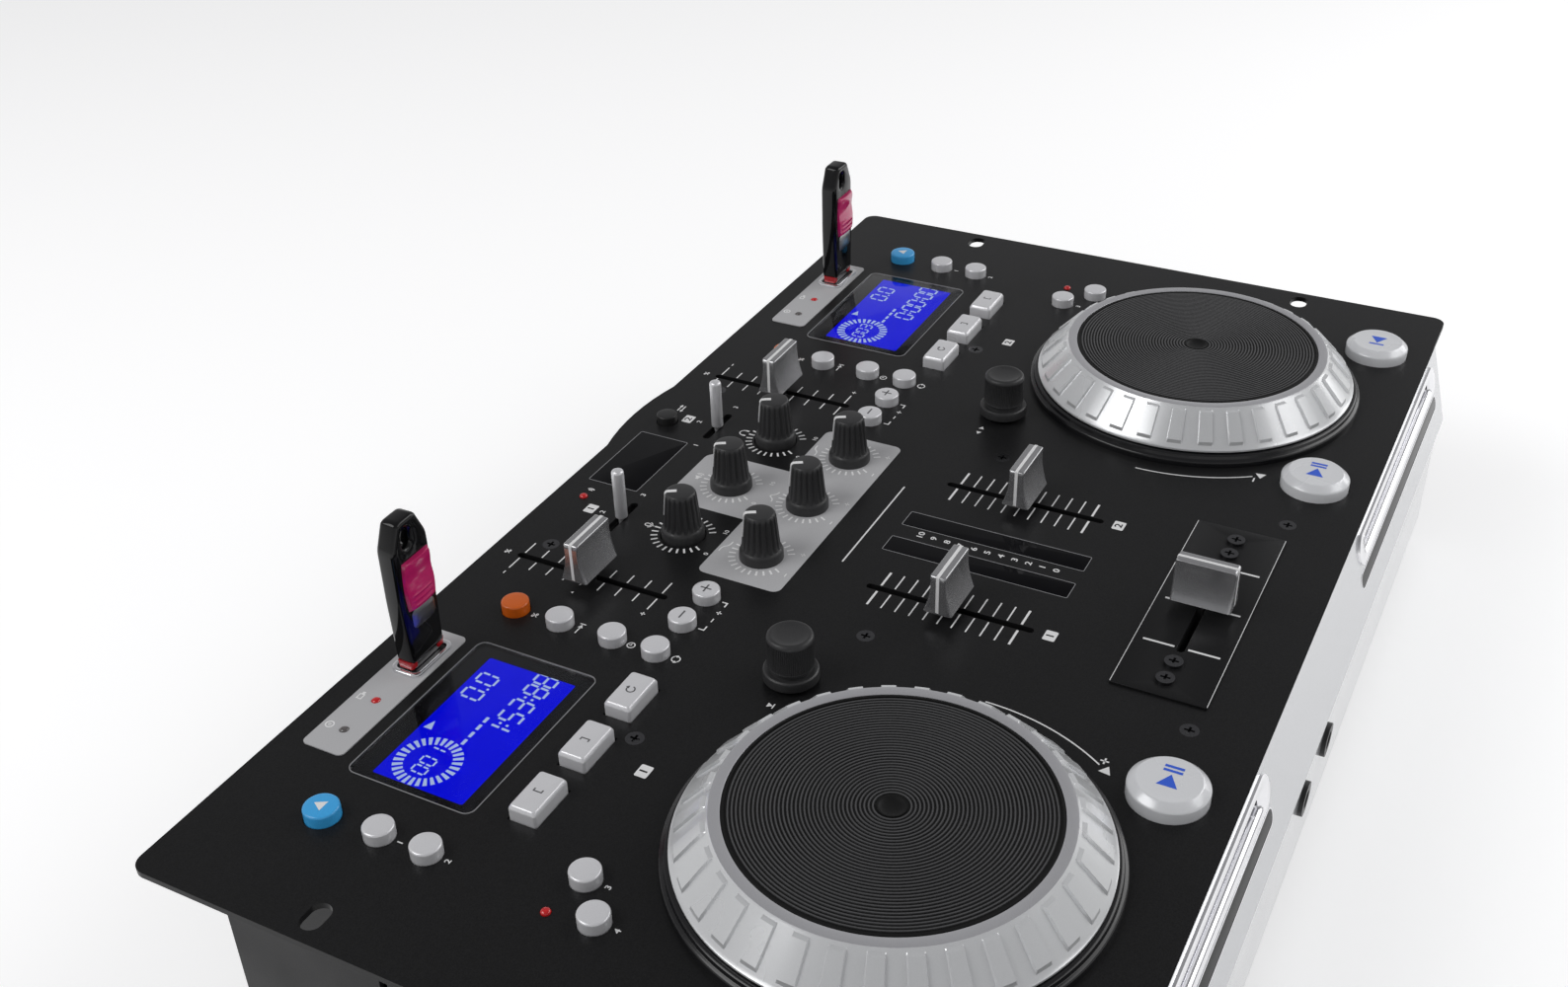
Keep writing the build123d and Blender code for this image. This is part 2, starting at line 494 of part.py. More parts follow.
# ================================================================ windows
with BuildPart() as display_windows:
    with BuildSketch(Plane.XY.offset(Z_FACE + LENS_PROUD)):
        with Locations(*DISPLAY_AT.values()):
            RectangleRounded(DISPLAY_L - 2 * SLIP, DISPLAY_W - 2 * SLIP, DISPLAY_R)
    extrude(amount=-LENS_T)
save(display_windows, "display_windows")

with BuildPart() as lcd_modules:
    with Locations(*[(x, y, Z_FACE + LENS_PROUD - LENS_T - SLIP) for x, y in LCD_AT.values()]):
        Box(LCD_L, LCD_W, LCD_H, align=(Align.CENTER, Align.CENTER, Align.MAX))
save(lcd_modules, "lcd_modules")

with BuildPart() as smoked_windows:
    with BuildSketch(Plane.XY.offset(Z_FACE)):
        with Locations(*[(x, METER_Y) for x in METER_XS]):
            Rectangle(METER_W - 2 * FIT, METER_L - 2 * FIT)
        with Locations(CENTRE_WINDOW_AT):
            Rectangle(CENTRE_WINDOW_L - 2 * FIT, CENTRE_WINDOW_W - 2 * FIT)
    extrude(amount=-WINDOW_T)
save(smoked_windows, "smoked_windows")

# ================================================================ USB plates, sockets and flash drives
with BuildPart() as usb_plates:
    with BuildSketch(Plane.XY.offset(Z_FACE)):
        with Locations(*USB_PLATE_AT.values()):
            RectangleRounded(USB_PLATE_L, USB_PLATE_W, USB_PLATE_R)
        with Locations(*USB_AT.values()):
            Rectangle(USB_SHELL_L + 2 * FIT, USB_SHELL_W + 2 * FIT, mode=Mode.SUBTRACT)
        with Locations(*USB_LED_AT):
            Circle(LED_R + FIT, mode=Mode.SUBTRACT)
    extrude(amount=USB_PLATE_T)
save(usb_plates, "usb_plates")

with BuildPart() as usb_sockets:
    z_plate = Z_FACE + USB_PLATE_T
    with BuildSketch(Plane.XY.offset(z_plate)):
        with Locations(*USB_AT.values()):
            RectangleRounded(USB_RIM_L, USB_RIM_W, USB_RIM_R)
            RectangleRounded(USB_WELL_L, USB_WELL_W, USB_RIM_R / 2, mode=Mode.SUBTRACT)
    extrude(amount=USB_RIM_H)
    with BuildSketch(Plane.XY.offset(z_plate)):
        with Locations(*USB_AT.values()):
            RectangleRounded(USB_RIM_L, USB_RIM_W, USB_RIM_R)
            Rectangle(USB_MOUTH_L, USB_MOUTH_W, mode=Mode.SUBTRACT)
    extrude(amount=USB_RIM_H / 3)
    with BuildSketch(Plane.XY.offset(z_plate)):
        with Locations(*USB_AT.values()):
            Rectangle(USB_SHELL_L, USB_SHELL_W)
            Rectangle(USB_MOUTH_L, USB_MOUTH_W, mode=Mode.SUBTRACT)
    extrude(amount=-USB_SHELL_DEPTH)
    with BuildSketch(Plane.XY.offset(z_plate - USB_SHELL_DEPTH)):
        with Locations(*USB_AT.values()):
            Rectangle(USB_SHELL_L, USB_SHELL_W)
    extrude(amount=-USB_SHELL_FLOOR)
save(usb_sockets, "usb_sockets")

for side, (x, y) in USB_AT.items():
    with BuildPart() as usb_stick:
        with BuildSketch(upright(y - STICK_W / 2)):
            with BuildLine():
                Polyline(
                    (x - STICK_L / 2, Z_FACE + STICK_Z),
                    (x - STICK_L / 2, Z_FACE + STICK_TOP - STICK_SHOULDER),
                    (x - STICK_L / 2 + STICK_SLANT, Z_FACE + STICK_TOP),
                    (x + STICK_L / 2 - STICK_SLANT, Z_FACE + STICK_TOP),
                    (x + STICK_L / 2, Z_FACE + STICK_TOP - STICK_SHOULDER),
                    (x + STICK_L / 2, Z_FACE + STICK_Z),
                    close=True,
                )
            make_face()
            with Locations((x, Z_FACE + STICK_TOP - CORD_HOLE_DROP)):
                SlotOverall(CORD_HOLE_L, CORD_HOLE_W, rotation=90, mode=Mode.SUBTRACT)
        extrude(amount=-STICK_W)
        fillet(usb_stick.edges().filter_by(Axis.Z), radius=STICK_W / 4)
        with Locations((x, y, Z_FACE + STICK_Z)):
            Box(PLUG_L, PLUG_W, STICK_Z + PLUG_DEPTH, align=(Align.CENTER, Align.CENTER, Align.MAX))
    save(usb_stick, f"usb_stick_{side}")

# ================================================================ small fixed pieces on the panel
with BuildPart() as status_leds:
    with Locations(*[(x, y, Z_FACE + LED_H) for x, y in LED_AT]):
        Cylinder(LED_R, LED_H + Z_FACE - BOARD_Z, align=(Align.CENTER, Align.CENTER, Align.MAX))
    fillet(status_leds.edges().filter_by(GeomType.CIRCLE).group_by(Axis.Z)[-1], radius=LED_R / 2)
save(status_leds, "status_leds")

with BuildPart() as crossfader_plate:
    with BuildSketch(Plane.XY.offset(Z_FACE)):
        with Locations((0, CROSS_Y)):
            Rectangle(CROSS_PLATE_L, CROSS_PLATE_W)
            SlotOverall(CROSS_SLOT_L, SLOT_W, mode=Mode.SUBTRACT)
        with Locations(*CROSS_SCREW_AT):
            Circle(SCREW_R + FIT, mode=Mode.SUBTRACT)
    extrude(amount=CROSS_PLATE_T)
save(crossfader_plate, "crossfader_plate")

with BuildPart() as panel_screws:
    head_h = SCREW_HEAD_R - SCREW_R
    with Locations(*[(x, y, Z_FACE) for x, y in SCREW_AT]):
        Cone(SCREW_R, SCREW_HEAD_R, head_h, align=(Align.CENTER, Align.CENTER, Align.MAX))
        Cylinder(SCREW_R, SCREW_L, align=(Align.CENTER, Align.CENTER, Align.MAX))
    z_head = Z_FACE + CROSS_PLATE_T
    with Locations(*[(x, y, z_head) for x, y in CROSS_SCREW_AT]):
        Cylinder(SCREW_HEAD_R, CROSS_HEAD_H, align=(Align.CENTER, Align.CENTER, Align.MIN))
        Cylinder(SCREW_R, CROSS_SCREW_L, align=(Align.CENTER, Align.CENTER, Align.MAX))
    tops = [(x, y, Z_FACE) for x, y in SCREW_AT]
    tops += [(x, y, z_head + CROSS_HEAD_H) for x, y in CROSS_SCREW_AT]
    with Locations(*tops):
        Box(SCREW_RECESS_L, SCREW_RECESS_W, 2 * SCREW_RECESS_H, mode=Mode.SUBTRACT)
        Box(SCREW_RECESS_W, SCREW_RECESS_L, 2 * SCREW_RECESS_H, mode=Mode.SUBTRACT)
save(panel_screws, "panel_screws")

# ================================================================ jog wheels
with BuildPart() as jog_base_rings:
    with BuildSketch(Plane.XY.offset(Z_FACE)):
        with Locations(*JOG_AT):
            Circle(JOG_BASE_R)
            Circle(JOG_RIM_OUT_R, mode=Mode.SUBTRACT)
    extrude(amount=JOG_BASE_H)
    fillet(
        jog_base_rings.edges().filter_by(GeomType.CIRCLE).group_by(Axis.Z)[-1].sort_by(SortBy.RADIUS)[-2:],
        radius=JOG_BASE_EDGE,
    )
save(jog_base_rings, "jog_base_rings")

jog_floor_z = JOG_H - JOG_DISC_T - 2 * FIT
with BuildPart() as jog_spindles:
    with Locations(*[(x, y, Z_FACE) for x, y in JOG_AT]):
        Cylinder(JOG_FLANGE_R, JOG_FLANGE_T, align=(Align.CENTER, Align.CENTER, Align.MIN))
        Cylinder(JOG_AXLE_R, jog_floor_z - SLIP, align=(Align.CENTER, Align.CENTER, Align.MIN))
save(jog_spindles, "jog_spindles")

for side, (x, y) in zip(SIDES, JOG_AT):
    wheel = Plane(origin=(x, y, Z_FACE), x_dir=(1, 0, 0), z_dir=(0, -1, 0))
    with BuildPart() as jog_ring:
        with BuildSketch(wheel):
            with BuildLine():
                edge_top = JOG_RING_Z + JOG_RING_EDGE_H
                inner_r = JOG_RING_R - JOG_WALL
                Polyline(
                    (JOG_AXLE_R + FIT, JOG_FLANGE_T + SLIP), (JOG_HUB_R, JOG_FLANGE_T + SLIP),
                    (JOG_HUB_R, jog_floor_z - JOG_WALL), (JOG_DISC_R, jog_floor_z - JOG_WALL),
                    (inner_r, JOG_RING_Z), (JOG_RING_R, JOG_RING_Z), (JOG_RING_R, edge_top),
                    (JOG_RIM_OUT_R, JOG_H), (JOG_DISC_R + FIT, JOG_H),
                    (JOG_DISC_R + FIT, jog_floor_z), (JOG_AXLE_R + FIT, jog_floor_z), close=True,
                )
            make_face()
        revolve(axis=Axis((x, y, Z_FACE), (0, 0, 1)))
    save(jog_ring, f"jog_ring_{side}")

    with BuildPart() as jog_disc:
        with BuildSketch(wheel):
            with BuildLine():
                dish = ThreePointArc(
                    (0, JOG_H - DISH_DEPTH), (0.7 * DISH_R, JOG_H - DISH_DEPTH / 2), (DISH_R, JOG_H)
                )
                Polyline(
                    dish @ 1, (JOG_DISC_R, JOG_H), (JOG_DISC_R, jog_floor_z + FIT), (0, jog_floor_z + FIT),
                    dish @ 0,
                )
            make_face()
        revolve(axis=Axis((x, y, Z_FACE), (0, 0, 1)))
    save(jog_disc, f"jog_disc_{side}")

# ================================================================ knobs on pots
for name, (x, y) in KNOBS.items():
    knob_plane = Plane(origin=(x, y, Z_FACE), x_dir=(1, 0, 0), z_dir=(0, -1, 0))
    with BuildPart() as knob:
        with BuildSketch(knob_plane):
            with BuildLine():
                bush_top = BUSH_H + SLIP
                shaft_end = POT_FLOOR - PANEL_T - POT_H
                Polyline(
                    (0, shaft_end), (SPINDLE_R, shaft_end), (SPINDLE_R, bush_top), (SOCKET_R, bush_top),
                    (SOCKET_R, -KNOB_SUNK), (KNOB_R, -KNOB_SUNK), (KNOB_R, KNOB_FLANGE_H - KNOB_FLANGE_EDGE),
                    (KNOB_WAIST_R, KNOB_FLANGE_H), (KNOB_TOP_R, KNOB_H - KNOB_EDGE),
                    (KNOB_TOP_R - KNOB_EDGE, KNOB_H), (0, KNOB_H), close=True,
                )
            make_face()
        revolve(axis=Axis((x, y, Z_FACE), (0, 0, 1)))
    save(knob, f"knob_{name}")

# ================================================================ browse knobs: turn and push
shaft_top = ENCODER_H - ENCODER_ROOF
for side, (x, y) in ENCODER_AT.items():
    with BuildPart() as encoder_shaft:
        with Locations((x, y, Z_FACE + shaft_top)):
            shaft_l = shaft_top + PANEL_T + ENCODER_SHAFT_DOWN
            Cylinder(SPINDLE_R, shaft_l, align=(Align.CENTER, Align.CENTER, Align.MAX))
    save(encoder_shaft, f"encoder_shaft_{side}")

    knob_plane = Plane(origin=(x, y, Z_FACE), x_dir=(1, 0, 0), z_dir=(0, -1, 0))
    with BuildPart() as encoder_knob:
        with BuildSketch(knob_plane):
            with BuildLine():
                bush_top = BUSH_H + ENCODER_TRAVEL + SLIP
                base_top = ENCODER_BASE_Z + ENCODER_BASE_H
                waist_top = base_top + ENCODER_WAIST_H
                rim_r = ENCODER_TOP_R - ENCODER_EDGE
                dish_r = rim_r - 2 * ENCODER_RIM_W
                Polyline(
                    (SPINDLE_R + FIT, bush_top), (SOCKET_R, bush_top), (SOCKET_R, ENCODER_BASE_Z),
                    (ENCODER_BASE_R, ENCODER_BASE_Z), (ENCODER_BASE_R, base_top - ENCODER_EDGE),
                    (ENCODER_BASE_R - ENCODER_EDGE, base_top), (ENCODER_WAIST_R, base_top),
                    (ENCODER_WAIST_R, waist_top), (ENCODER_TOP_R, waist_top),
                    (ENCODER_TOP_R, ENCODER_H - ENCODER_EDGE), (rim_r, ENCODER_H),
                    (rim_r - ENCODER_RIM_W, ENCODER_H), (dish_r, ENCODER_H - ENCODER_EDGE),
                    (0, ENCODER_H - 1.5 * ENCODER_EDGE), (0, shaft_top + SLIP),
                    (SPINDLE_R + FIT, shaft_top + SLIP), close=True,
                )
            make_face()
        revolve(axis=Axis((x, y, Z_FACE), (0, 0, 1)))
    save(encoder_knob, f"encoder_knob_{side}")

# ================================================================ source levers
for side, (x, y) in LEVER_AT.items():
    with BuildPart() as source_lever:
        with Locations((x, y, Z_FACE + LEVER_LIFT)):
            Cylinder(LEVER_R, LEVER_H - LEVER_LIFT, align=(Align.CENTER, Align.CENTER, Align.MIN))
        fillet(source_lever.edges().filter_by(GeomType.CIRCLE).group_by(Axis.Z)[-1], radius=LEVER_R * 0.45)
        with Locations((x, y, Z_FACE + LEVER_LIFT)):
            Cylinder(
                LEVER_NECK_R, LEVER_LIFT + PANEL_T + LEVER_DOWN,
                align=(Align.CENTER, Align.CENTER, Align.MAX),
            )
    save(source_lever, f"source_lever_{side}")


# ================================================================ fader caps
def fader_cap(label, x, y, along):
    """A cap with hollow flanks and a line groove, on a flat blade. It slides along "x" or "y"."""
    z0, z1 = Z_FACE + CAP_Z, Z_FACE + CAP_Z + CAP_H
    mid = (CAP_BASE_W + CAP_TOP_W) / 4 - CAP_HOLLOW
    if along == "y":
        end = Plane(origin=(x - CAP_L / 2, y, 0), x_dir=(0, 1, 0), z_dir=(1, 0, 0))
    else:
        end = Plane(origin=(x, y + CAP_L / 2, 0), x_dir=(1, 0, 0), z_dir=(0, -1, 0))
    blade = (BLADE_T, BLADE_W) if along == "y" else (BLADE_W, BLADE_T)
    with BuildPart() as cap:
        with BuildSketch(end):
            with BuildLine():
                flank = ThreePointArc((CAP_BASE_W / 2, z0), (mid, (z0 + z1) / 2), (CAP_TOP_W / 2, z1))
                top = Line(flank @ 1, (-CAP_TOP_W / 2, z1))
                other = ThreePointArc(top @ 1, (-mid, (z0 + z1) / 2), (-CAP_BASE_W / 2, z0))
                Line(other @ 1, flank @ 0)
            make_face()
            with Locations((0, z1)):
                Rectangle(CAP_LINE_W, 2 * CAP_LINE_DEPTH, mode=Mode.SUBTRACT)
        extrude(amount=CAP_L)
        with Locations((x, y, z0)):
            Box(*blade, CAP_Z + PANEL_T + BLADE_DOWN, align=(Align.CENTER, Align.CENTER, Align.MAX))
    save(cap, label)


for side, (x, y) in zip(SIDES, PITCH_AT):
    fader_cap(f"pitch_cap_{side}", x, y, "y")
for side, (x, y) in zip(SIDES, CHANNEL_AT):
    fader_cap(f"channel_cap_{side}", x, y, "y")
fader_cap("crossfader_cap", 0, CROSS_Y, "x")


# ================================================================ buttons
switch_top = BOARD_Z + TACT_H
stem_bottom = switch_top + TRAVEL + SEAT


def round_keys(label, places, radius, height, bevel, stem=True):
    """Round caps with a flange below the panel and, where there is room, a stem to the switch."""
    with BuildPart() as keys:
        with Locations(*[(x, y, Z_FACE + height) for x, y in places]):
            Cylinder(radius, height + PANEL_T + SEAT, align=(Align.CENTER, Align.CENTER, Align.MAX))
        chamfer(keys.edges().filter_by(GeomType.CIRCLE).group_by(Axis.Z)[-1], length=bevel)
        with Locations(*[(x, y, Z_UNDER - SEAT) for x, y in places]):
            Cylinder(radius + FLANGE_LIP, FLANGE_T, align=(Align.CENTER, Align.CENTER, Align.MAX))
            if stem:
                stem_l = Z_UNDER - SEAT - stem_bottom
                Cylinder(STEM_R, stem_l, align=(Align.CENTER, Align.CENTER, Align.MAX))
    save(keys, label)


def loop_keys(label, places):
    """Three oblong caps with bevelled tops."""
    with BuildPart() as keys:
        for x, y in places:
            with Locations((x, y, Z_FACE + LOOP_STEP_H)):
                Box(
                    LOOP_L, LOOP_W, LOOP_STEP_H + PANEL_T + SEAT,
                    align=(Align.CENTER, Align.CENTER, Align.MAX),
                )
            with BuildSketch(Plane(origin=(x, y, Z_FACE + LOOP_STEP_H))):
                Rectangle(LOOP_L, LOOP_W)
            with BuildSketch(Plane(origin=(x, y, Z_FACE + LOOP_H))):
                Rectangle(LOOP_TOP_L, LOOP_TOP_W)
            loft()
            with Locations((x, y, Z_UNDER - SEAT)):
                Box(
                    LOOP_L + 2 * FLANGE_LIP, LOOP_W + 2 * FLANGE_LIP, FLANGE_T,
                    align=(Align.CENTER, Align.CENTER, Align.MAX),
                )
                Cylinder(
                    STEM_R, Z_UNDER - SEAT - stem_bottom, align=(Align.CENTER, Align.CENTER, Align.MAX)
                )
    save(keys, label)


for side in SIDES:
    round_keys(f"play_{side}", [PLAY_AT[side]], BIG_KEY_R, BIG_KEY_H, BIG_KEY_BEVEL, stem=False)
    round_keys(f"cue_{side}", [CUE_AT[side]], BIG_KEY_R, BIG_KEY_H, BIG_KEY_BEVEL, stem=False)
    round_keys(f"eject_{side}", [EJECT_AT[side]], EJECT_R, KEY_H, KEY_BEVEL)
    round_keys(f"pitch_button_{side}", [PITCH_KEY_AT[side]], KEY_R, KEY_H, KEY_BEVEL)
    round_keys(f"mode_buttons_{side}", MODE_AT[side], KEY_R, KEY_H, KEY_BEVEL)
    round_keys(f"bend_buttons_{side}", BEND_AT[side], KEY_R, KEY_H, KEY_BEVEL)
    round_keys(f"outer_buttons_{side}", OUTER_AT[side], KEY_R, KEY_H, KEY_BEVEL)
    loop_keys(f"loop_buttons_{side}", LOOP_AT[side])
round_keys("sync_button", [SYNC_AT], SYNC_R, SYNC_H, KEY_BEVEL)

# ================================================================ what the controls work, under the panel
hang = (Align.CENTER, Align.CENTER, Align.MAX)
stand = (Align.CENTER, Align.CENTER, Align.MIN)
with BuildPart() as control_bodies:
    # pots, each with the bush that its spindle turns in
    with Locations(*[(x, y, Z_UNDER) for x, y in KNOBS.values()]):
        Box(POT_L, POT_W, POT_H, align=hang)
        Cylinder(BUSH_R, PANEL_T + BUSH_H, align=stand)
        Cylinder(SPINDLE_R + FIT, 2 * (PANEL_T + POT_H), mode=Mode.SUBTRACT)
    # encoders
    with Locations(*[(x, y, Z_UNDER) for x, y in ENCODER_AT.values()]):
        Box(POT_W, ENCODER_BODY_W, POT_H, align=hang)
        Cylinder(BUSH_R, PANEL_T + BUSH_H, align=stand)
        Cylinder(SPINDLE_R + FIT, 2 * (PANEL_T + POT_H), mode=Mode.SUBTRACT)
    # fader units: channels open at the top, which the blades slide in
    for places, slot_l in ((PITCH_AT, PITCH_SLOT_L), (CHANNEL_AT, CHANNEL_SLOT_L)):
        with Locations(*[(x, y, Z_UNDER) for x, y in places]):
            Box(FADER_BODY_W, slot_l + 2 * FADER_BODY_END, FADER_BODY_H, align=hang)
            Box(FADER_CHANNEL_W, slot_l, 2 * FADER_CHANNEL_DEEP, mode=Mode.SUBTRACT)
    with Locations((0, CROSS_Y, Z_FACE)):
        Box(CROSS_HOLE_L - 2 * CROSS_HOLE_GAP, FADER_BODY_W, FADER_BODY_H + PANEL_T, align=hang)
        Box(CROSS_SLOT_L, FADER_CHANNEL_W, 2 * (PANEL_T + FADER_CHANNEL_DEEP), mode=Mode.SUBTRACT)
    with Locations(*[(side * CROSS_SCREWS_X[0], CROSS_Y, Z_FACE) for side in (-1, 1)]):
        Hole(SCREW_R + FIT, depth=CROSS_SCREW_L)
    # slide switches under the source levers
    with Locations(*[(x, y, Z_UNDER) for x, y in LEVER_AT.values()]):
        Box(LEVER_SLOT_L + 2 * LEVER_BODY_END, LEVER_BODY_W, LEVER_BODY_H, align=hang)
        Box(LEVER_SLOT_L, LEVER_SLOT_W, 2 * LEVER_CHANNEL_DEEP, mode=Mode.SUBTRACT)
    # a switch on the board under each small button
    small_keys = KEYS_AT + list(EJECT_AT.values()) + [SYNC_AT] + [at for s in SIDES for at in LOOP_AT[s]]
    with Locations(*[(x, y, BOARD_Z) for x, y in small_keys]):
        Box(TACT_W, TACT_W, TACT_H, align=stand)
    # flat pads on the drives under the play and cue buttons
    pads = [(x, y, DRIVE_TOP) for x, y in PLAY_AT.values()]
    pads += [(math.copysign(abs(x) - PAD_R, x), y, DRIVE_TOP) for x, y in CUE_AT.values()]
    with Locations(*pads):
        Cylinder(PAD_R, PAD_T, align=stand)
    # spacers between the drives and the panel
    with Locations(*[(x, y, DRIVE_TOP) for x, y in DRIVE_SPACER_AT]):
        Cylinder(SPACER_R, Z_UNDER - DRIVE_TOP, align=stand)
    # light bars under the meter windows
    with Locations(*[(x, METER_Y, BOARD_Z) for x in METER_XS]):
        Box(METER_BAR_W, METER_BAR_L, Z_FACE - WINDOW_T - SLIP - BOARD_Z, align=stand)
save(control_bodies, "control_bodies")

# ================================================================ boards
with BuildPart() as circuit_boards:
    step_y = drive_front + DRIVE_D + BOARD_GAP
    with BuildSketch(Plane.XY.offset(BOARD_Z)):
        with Locations((0, step_y)):
            Rectangle(2 * MIXER_NARROW, BOARD_REAR - step_y, align=(Align.CENTER, Align.MIN))
            front_l = step_y - CASE_FRONT - BOARD_FRONT_GAP
            Rectangle(2 * MIXER_WIDE, front_l, align=(Align.CENTER, Align.MAX))
        for side in (-1, 1):
            board_l = CASE_W / 2 - CASE_WALL - BOARD_SIDE_GAP - MIXER_NARROW - BOARD_GAP
            board_x = side * (MIXER_NARROW + BOARD_GAP + board_l / 2)
            with Locations((board_x, step_y + BOARD_GAP)):
                Rectangle(board_l, BOARD_REAR - step_y - BOARD_GAP, align=(Align.CENTER, Align.MIN))
    extrude(amount=-BOARD_T)
    # spacers pressed into the boards, which the panel's screws hold
    with Locations(*[(x, y, BOARD_Z) for x, y in SCREW_AT]):
        Cylinder(SPACER_R, BOARD_DROP, align=stand)
    with Locations(*[(x, y, Z_UNDER) for x, y in SCREW_AT]):
        Hole(SCREW_R + FIT, depth=SCREW_L)
    # the main board and the power supply stand on the floor of the case
    for centre, size in (((0, 0), (MAIN_L, MAIN_W)), (SUPPLY_AT, (SUPPLY_L, SUPPLY_W))):
        with Locations((*centre, FLOOR_Z + BOARD_STAND_H)):
            Box(*size, BOARD_T, align=stand)
        with Locations((*centre, FLOOR_Z)):
            with GridLocations(size[0] - 2 * BOARD_STAND_INSET, size[1] - 2 * BOARD_STAND_INSET, 2, 2):
                Cylinder(BOARD_STAND_R, BOARD_STAND_H, align=stand)
    # its transformer and two capacitors
    supply_top = FLOOR_Z + BOARD_STAND_H + BOARD_T
    with Locations((SUPPLY_AT[0] + TRANSFORMER_FROM[0], SUPPLY_AT[1] + TRANSFORMER_FROM[1], supply_top)):
        Box(TRANSFORMER_L, TRANSFORMER_W, TRANSFORMER_H, align=stand)
    with Locations(*[(SUPPLY_AT[0] + dx, SUPPLY_AT[1] + dy, supply_top) for dx, dy in CAPACITORS_FROM]):
        Cylinder(CAPACITOR_R, CAPACITOR_H, align=stand)
save(circuit_boards, "circuit_boards")

# ================================================================ sockets at the back and front
with BuildPart() as connectors:
    inside = CASE_REAR - CASE_WALL
    mid_z = sum(RCA_ZS) / 2
    rca_block_h = RCA_ZS[1] - RCA_ZS[0] + 2 * RCA_BLOCK_END
    for x in RCA_XS:
        with Locations((x, inside, mid_z)):
            Box(RCA_BLOCK_W, RCA_BLOCK_D, rca_block_h, align=(Align.CENTER, Align.MAX, Align.CENTER))
        with BuildSketch(upright(inside)):
            with Locations(*[(x, z) for z in RCA_ZS]):
                Circle(RCA_R)
        extrude(amount=-(REAR + END_REACH - inside))
        with BuildSketch(upright(REAR + END_REACH)):
            with Locations(*[(x, z) for z in RCA_ZS]):
                Circle(RCA_HOLE_R)
        extrude(amount=REAR + END_REACH - inside + RCA_BLOCK_D / 2, mode=Mode.SUBTRACT)
    # mains inlet with three blades
    with BuildSketch(upright(CASE_REAR)):
        with Locations((INLET_X, INLET_Z)):
            Rectangle(INLET_FLANGE_L, INLET_FLANGE_W)
    extrude(amount=-INLET_FLANGE_T)
    with BuildSketch(upright(CASE_REAR)):
        with Locations((INLET_X, INLET_Z)):
            Rectangle(INLET_L, INLET_W)
    extrude(amount=INLET_DEEP)
    with BuildSketch(upright(CASE_REAR + INLET_FLANGE_T)):
        with Locations((INLET_X, INLET_Z)):
            Rectangle(INLET_L - 2 * INLET_WALL, INLET_W - 2 * INLET_WALL)
    extrude(amount=INLET_DEEP, mode=Mode.SUBTRACT)
    with BuildSketch(upright(CASE_REAR - INLET_DEEP + INLET_FLANGE_T)):
        with Locations(*[(INLET_X + dx, INLET_Z + dz) for dx, dz in PIN_AT]):
            Rectangle(PIN_W, PIN_H)
    extrude(amount=-(INLET_DEEP - PIN_SHORT))
    # frame of the mains switch
    with BuildSketch(upright(CASE_REAR)):
        with Locations((ROCKER_X, ROCKER_Z)):
            Rectangle(ROCKER_FRAME_W + 2 * ROCKER_LIP, ROCKER_FRAME_L + 2 * ROCKER_LIP)
            Rectangle(ROCKER_W + 2 * SLIP, 2 * (ROCKER_R + SLIP), mode=Mode.SUBTRACT)
    extrude(amount=-INLET_FLANGE_T)
    with BuildSketch(upright(CASE_REAR)):
        with Locations((ROCKER_X, ROCKER_Z)):
            Rectangle(ROCKER_FRAME_W, ROCKER_FRAME_L)
            Rectangle(ROCKER_W + 2 * SLIP, 2 * (ROCKER_R + SLIP), mode=Mode.SUBTRACT)
    extrude(amount=ROCKER_R + ROCKER_LIP)
    with BuildSketch(upright(CASE_REAR - ROCKER_R - ROCKER_LIP)):
        with Locations((ROCKER_X, ROCKER_Z)):
            Rectangle(ROCKER_FRAME_W, ROCKER_FRAME_L)
    extrude(amount=ROCKER_LIP)
    # headphone and microphone jacks in the fascia
    for x in JACK_XS:
        with BuildSketch(upright(low_y)):
            with Locations((x, JACK_Z)):
                Circle(JACK_R)
        extrude(amount=FASCIA_LOW_INSET)
        with BuildSketch(upright(low_y)):
            with Locations((x, JACK_Z)):
                Circle(JACK_R - JACK_LIP)
        extrude(amount=-FASCIA_WALL)
        with Locations((x, inner_low_y, JACK_Z)):
            Box(JACK_BODY_W, JACK_BODY_L, JACK_BODY_W, align=(Align.CENTER, Align.MIN, Align.CENTER))
        with BuildSketch(upright(nose_y)):
            with Locations((x, JACK_Z)):
                Circle(JACK_HOLE_R)
        extrude(amount=-JACK_BODY_L, mode=Mode.SUBTRACT)
save(connectors, "connectors")

# the rocker lies tilted, with its upper half pressed in
with BuildPart() as power_switch:
    pivot_y = CASE_REAR - 1.0
    tilt = math.radians(ROCKER_TILT)
    rocker = Plane(
        origin=(ROCKER_X - ROCKER_W / 2, pivot_y, ROCKER_Z),
        x_dir=(0, math.cos(tilt), math.sin(tilt)), z_dir=(1, 0, 0),
    )
    with BuildSketch(rocker):
        Circle(ROCKER_R)
        with BuildLine():
            lift = ROCKER_R * math.tan(tilt)
            Polyline(
                (ROCKER_HUB, 0), (ROCKER_HUB + lift, ROCKER_R), (2 * ROCKER_R, ROCKER_R + 1),
                (2 * ROCKER_R, -ROCKER_R - 1), (ROCKER_HUB + lift, -ROCKER_R), close=True,
            )
        make_face(mode=Mode.SUBTRACT)
    extrude(amount=ROCKER_W)
save(power_switch, "power_switch")
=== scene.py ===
import math

import bmesh
import bpy
import numpy as np
from mathutils import Matrix, Vector


